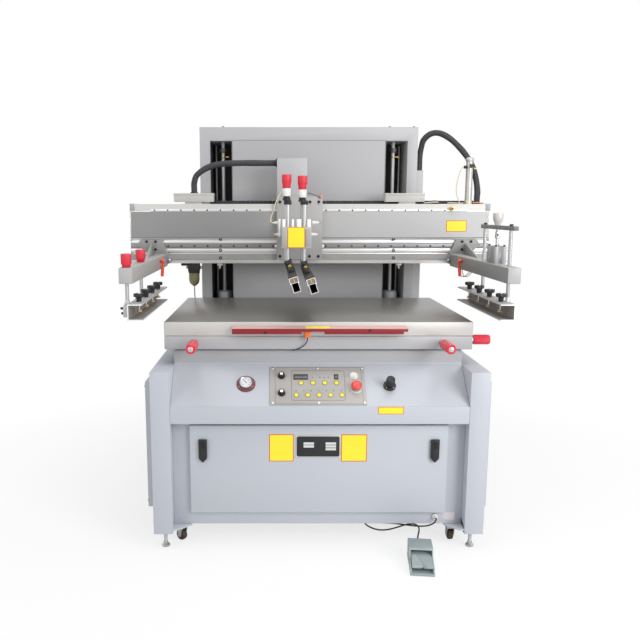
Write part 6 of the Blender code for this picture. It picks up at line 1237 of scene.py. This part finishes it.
# The peel bar over the right arm: a grey bar across the two hanger rods, a forked rod end from the
# cylinder below it and a bright cup knob on top.
bar_grey = finish("bar_grey", (118, 118, 119), 0.48, drift=0.06, drift_size=8, grain=600, relief=0.1)
cup_metal = finish("cup_metal", (204, 199, 194), 0.42, metallic=0.15, drift=0.06)
fitted(block("peel_bar", (0.708, 0.726), (-0.578, -0.14), (1.232, 1.248), 0.0014), "clamp_right", bar_grey)
fitted(block("peel_bar_tip", (0.7078, 0.7262), (-0.1405, -0.134), (1.2318, 1.2482), 0.001), "clamp_right", brass)
fitted(repeated("peel_bar_bolts", socket_screw(0.0072, 0.0075, UP), [(HANGER_X, y, 1.2478)
    for y in HANGER_YS["right"]]), "clamp_right", black_oxide)
fork_pieces = [block("fork", (0.7095, 0.7245), (-0.3525, -0.3375), (1.196, 1.223), 0.002),
    turned("fork_neck", [(0, 1.135), (0.005, 1.135), (0.005, 1.196), (0, 1.196)], foot=PEEL_FOOT, sides=20),
    turned("fork_top", [(0, 1.2225), (0.0062, 1.2225), (0.0062, 1.2325), (0, 1.2325)], foot=PEEL_FOOT, sides=20),
    turned("fork_nut", [(0, 1.1965), (0.0092, 1.1965), (0.0092, 1.202), (0, 1.202)], foot=PEEL_FOOT, sides=6,
    edge=0.0006)]
fitted(joined("peel_fork", fork_pieces), "clamp_right", zinc)
fitted(turned("fork_pin", [(0, 0), (0.004, 0), (0.004, 0.018), (0, 0.018)], foot=(HANGER_X, -0.336, 1.211),
    facing=FORWARD, sides=16), "clamp_right", black_oxide)
fitted(turned("peel_cup", [(0, 1.248), (0.012, 1.248), (0.0125, 1.2495), (0.0125, 1.256), (0.016, 1.261),
    (0.0186, 1.268), (0.02, 1.276), (0.02, 1.293), (0.019, 1.2958), (0.016, 1.296), (0.015, 1.2945), (0, 1.294)],
    foot=PEEL_FOOT, sides=44), "clamp_right", cup_metal)

# The orange clamp levers on the inner sides of the arms: a cast hub with a socket screw, and a
# handle that swells towards its tip and leans a little outwards.
lever_orange = finish("lever_orange", (232, 78, 40), 0.38, drift=0.06, grain=500, relief=0.12, coat=0.15)
for side, sign in SIDES:
    body = "lever_" + side
    face_x = -0.6917 if side == "left" else 0.6817
    hub = turned("lever_hub", [(0, 0), (0.007, 0), (0.0078, 0.001), (0.008, 0.008), (0.0104, 0.0094),
        (0.0104, 0.017), (0.009, 0.0188), (0, 0.0188)], foot=(face_x, 0.05, 1.08), facing=(-sign, 0, 0), sides=28)
    spine_x = face_x - sign * 0.0138
    spine = smooth_line([(spine_x, 0.05, 1.08), (spine_x, 0.05, 1.074), (spine_x + sign * 0.0014, 0.05, 1.056),
        (spine_x + sign * 0.0032, 0.05, 1.038), (spine_x + sign * 0.0046, 0.05, 1.023),
        (spine_x + sign * 0.0054, 0.05, 1.0125), (spine_x + sign * 0.0055, 0.05, 1.01)], 0.004)
    handle = line_of("lever_handle", spine, 0.0058, 5, lambda i: min(1.26, 0.95 + 0.03 * i) if i < len(spine) - 1
        else 0.75)
    only(handle)
    bpy.ops.object.convert(target="MESH")
    handle = bpy.context.object
    lever = joined("lever_grip_" + side, [hub, handle])
    rounded(lever, 0)
    fitted(lever, body, lever_orange, [body])
    screw = socket_screw(0.0046, 0.002, (-sign, 0, 0))
    fitted(repeated("lever_screw_" + side, screw, [(face_x - sign * 0.0187, 0.05, 1.08)]), body, zinc)

# The foot pedal: a cast grey-green shell with a hood over the treadle, pinned through both cheeks.
pedal_paint = finish("pedal_enamel", (152, 164, 165), 0.42, metallic=0.15, drift=0.1, drift_size=14, grain=260,
    relief=0.3, coat=0.15)
PEDAL_TURN = (Matrix.Translation((0.383, -0.65, 0)) @ Matrix.Rotation(math.radians(-6), 4, "Z")
    @ Matrix.Translation((-0.383, 0.65, 0)))


def on_pedal(piece):
    """Turns a piece modelled square to the machine the way the pedal lies."""
    return placed(piece, PEDAL_TURN)


softened("pedal_base", pedal_paint, 0.0022, 3)
treadle = softened("pedal_treadle", pedal_paint, 0.0012)
cut(treadle, on_pedal(turned("notch", [(0, 0.015), (0.005, 0.015), (0.005, 0.06), (0, 0.06)],
    foot=(0.385, -0.8245, 0), sides=24)))
treadle_ribs = []
for y in [-0.815 + 0.01 * i for i in range(6)]:
    low, high = 0.0335 + (y + 0.824) * 0.1452, 0.0349 + (y + 0.824) * 0.1452
    treadle_ribs.append(profile("rib", [(y - 0.0012, low), (y + 0.0012, low), (y + 0.0009, high),
        (y - 0.0009, high)], "X", (0.352, 0.418), 0.0003))
fitted(on_pedal(joined("treadle_ribs", treadle_ribs)), "pedal_treadle", pedal_paint)
pivot_screws = [turned("pivot", [(0, 0.0006), (0.0018, 0.0006), (0.0022, 0.0022), (0.0046, 0.0018), (0.0054, 0)],
    foot=(x, -0.7, 0.048), facing=(side, 0, 0), sides=20) for side, x in ((-1, 0.341), (1, 0.429))]
fitted(on_pedal(joined("pedal_pivots", pivot_screws)), "base", brass)
sole = block("pedal_sole", (0.3425, 0.4275), (-0.829, -0.6665), (0.0003, 0.004), 0.0012)
fitted(on_pedal(sole), "base", cable_rubber)
relief = turned("lead_relief", [(0.0032, 0), (0.0062, 0), (0.0066, 0.0015), (0.006, 0.006), (0.005, 0.013),
    (0.004, 0.0149), (0.0032, 0.0149), (0.0032, 0)], foot=(0.383, -0.665, 0.014), facing=(0, 1, 0), sides=24)
fitted(on_pedal(relief), "base", cable_rubber)
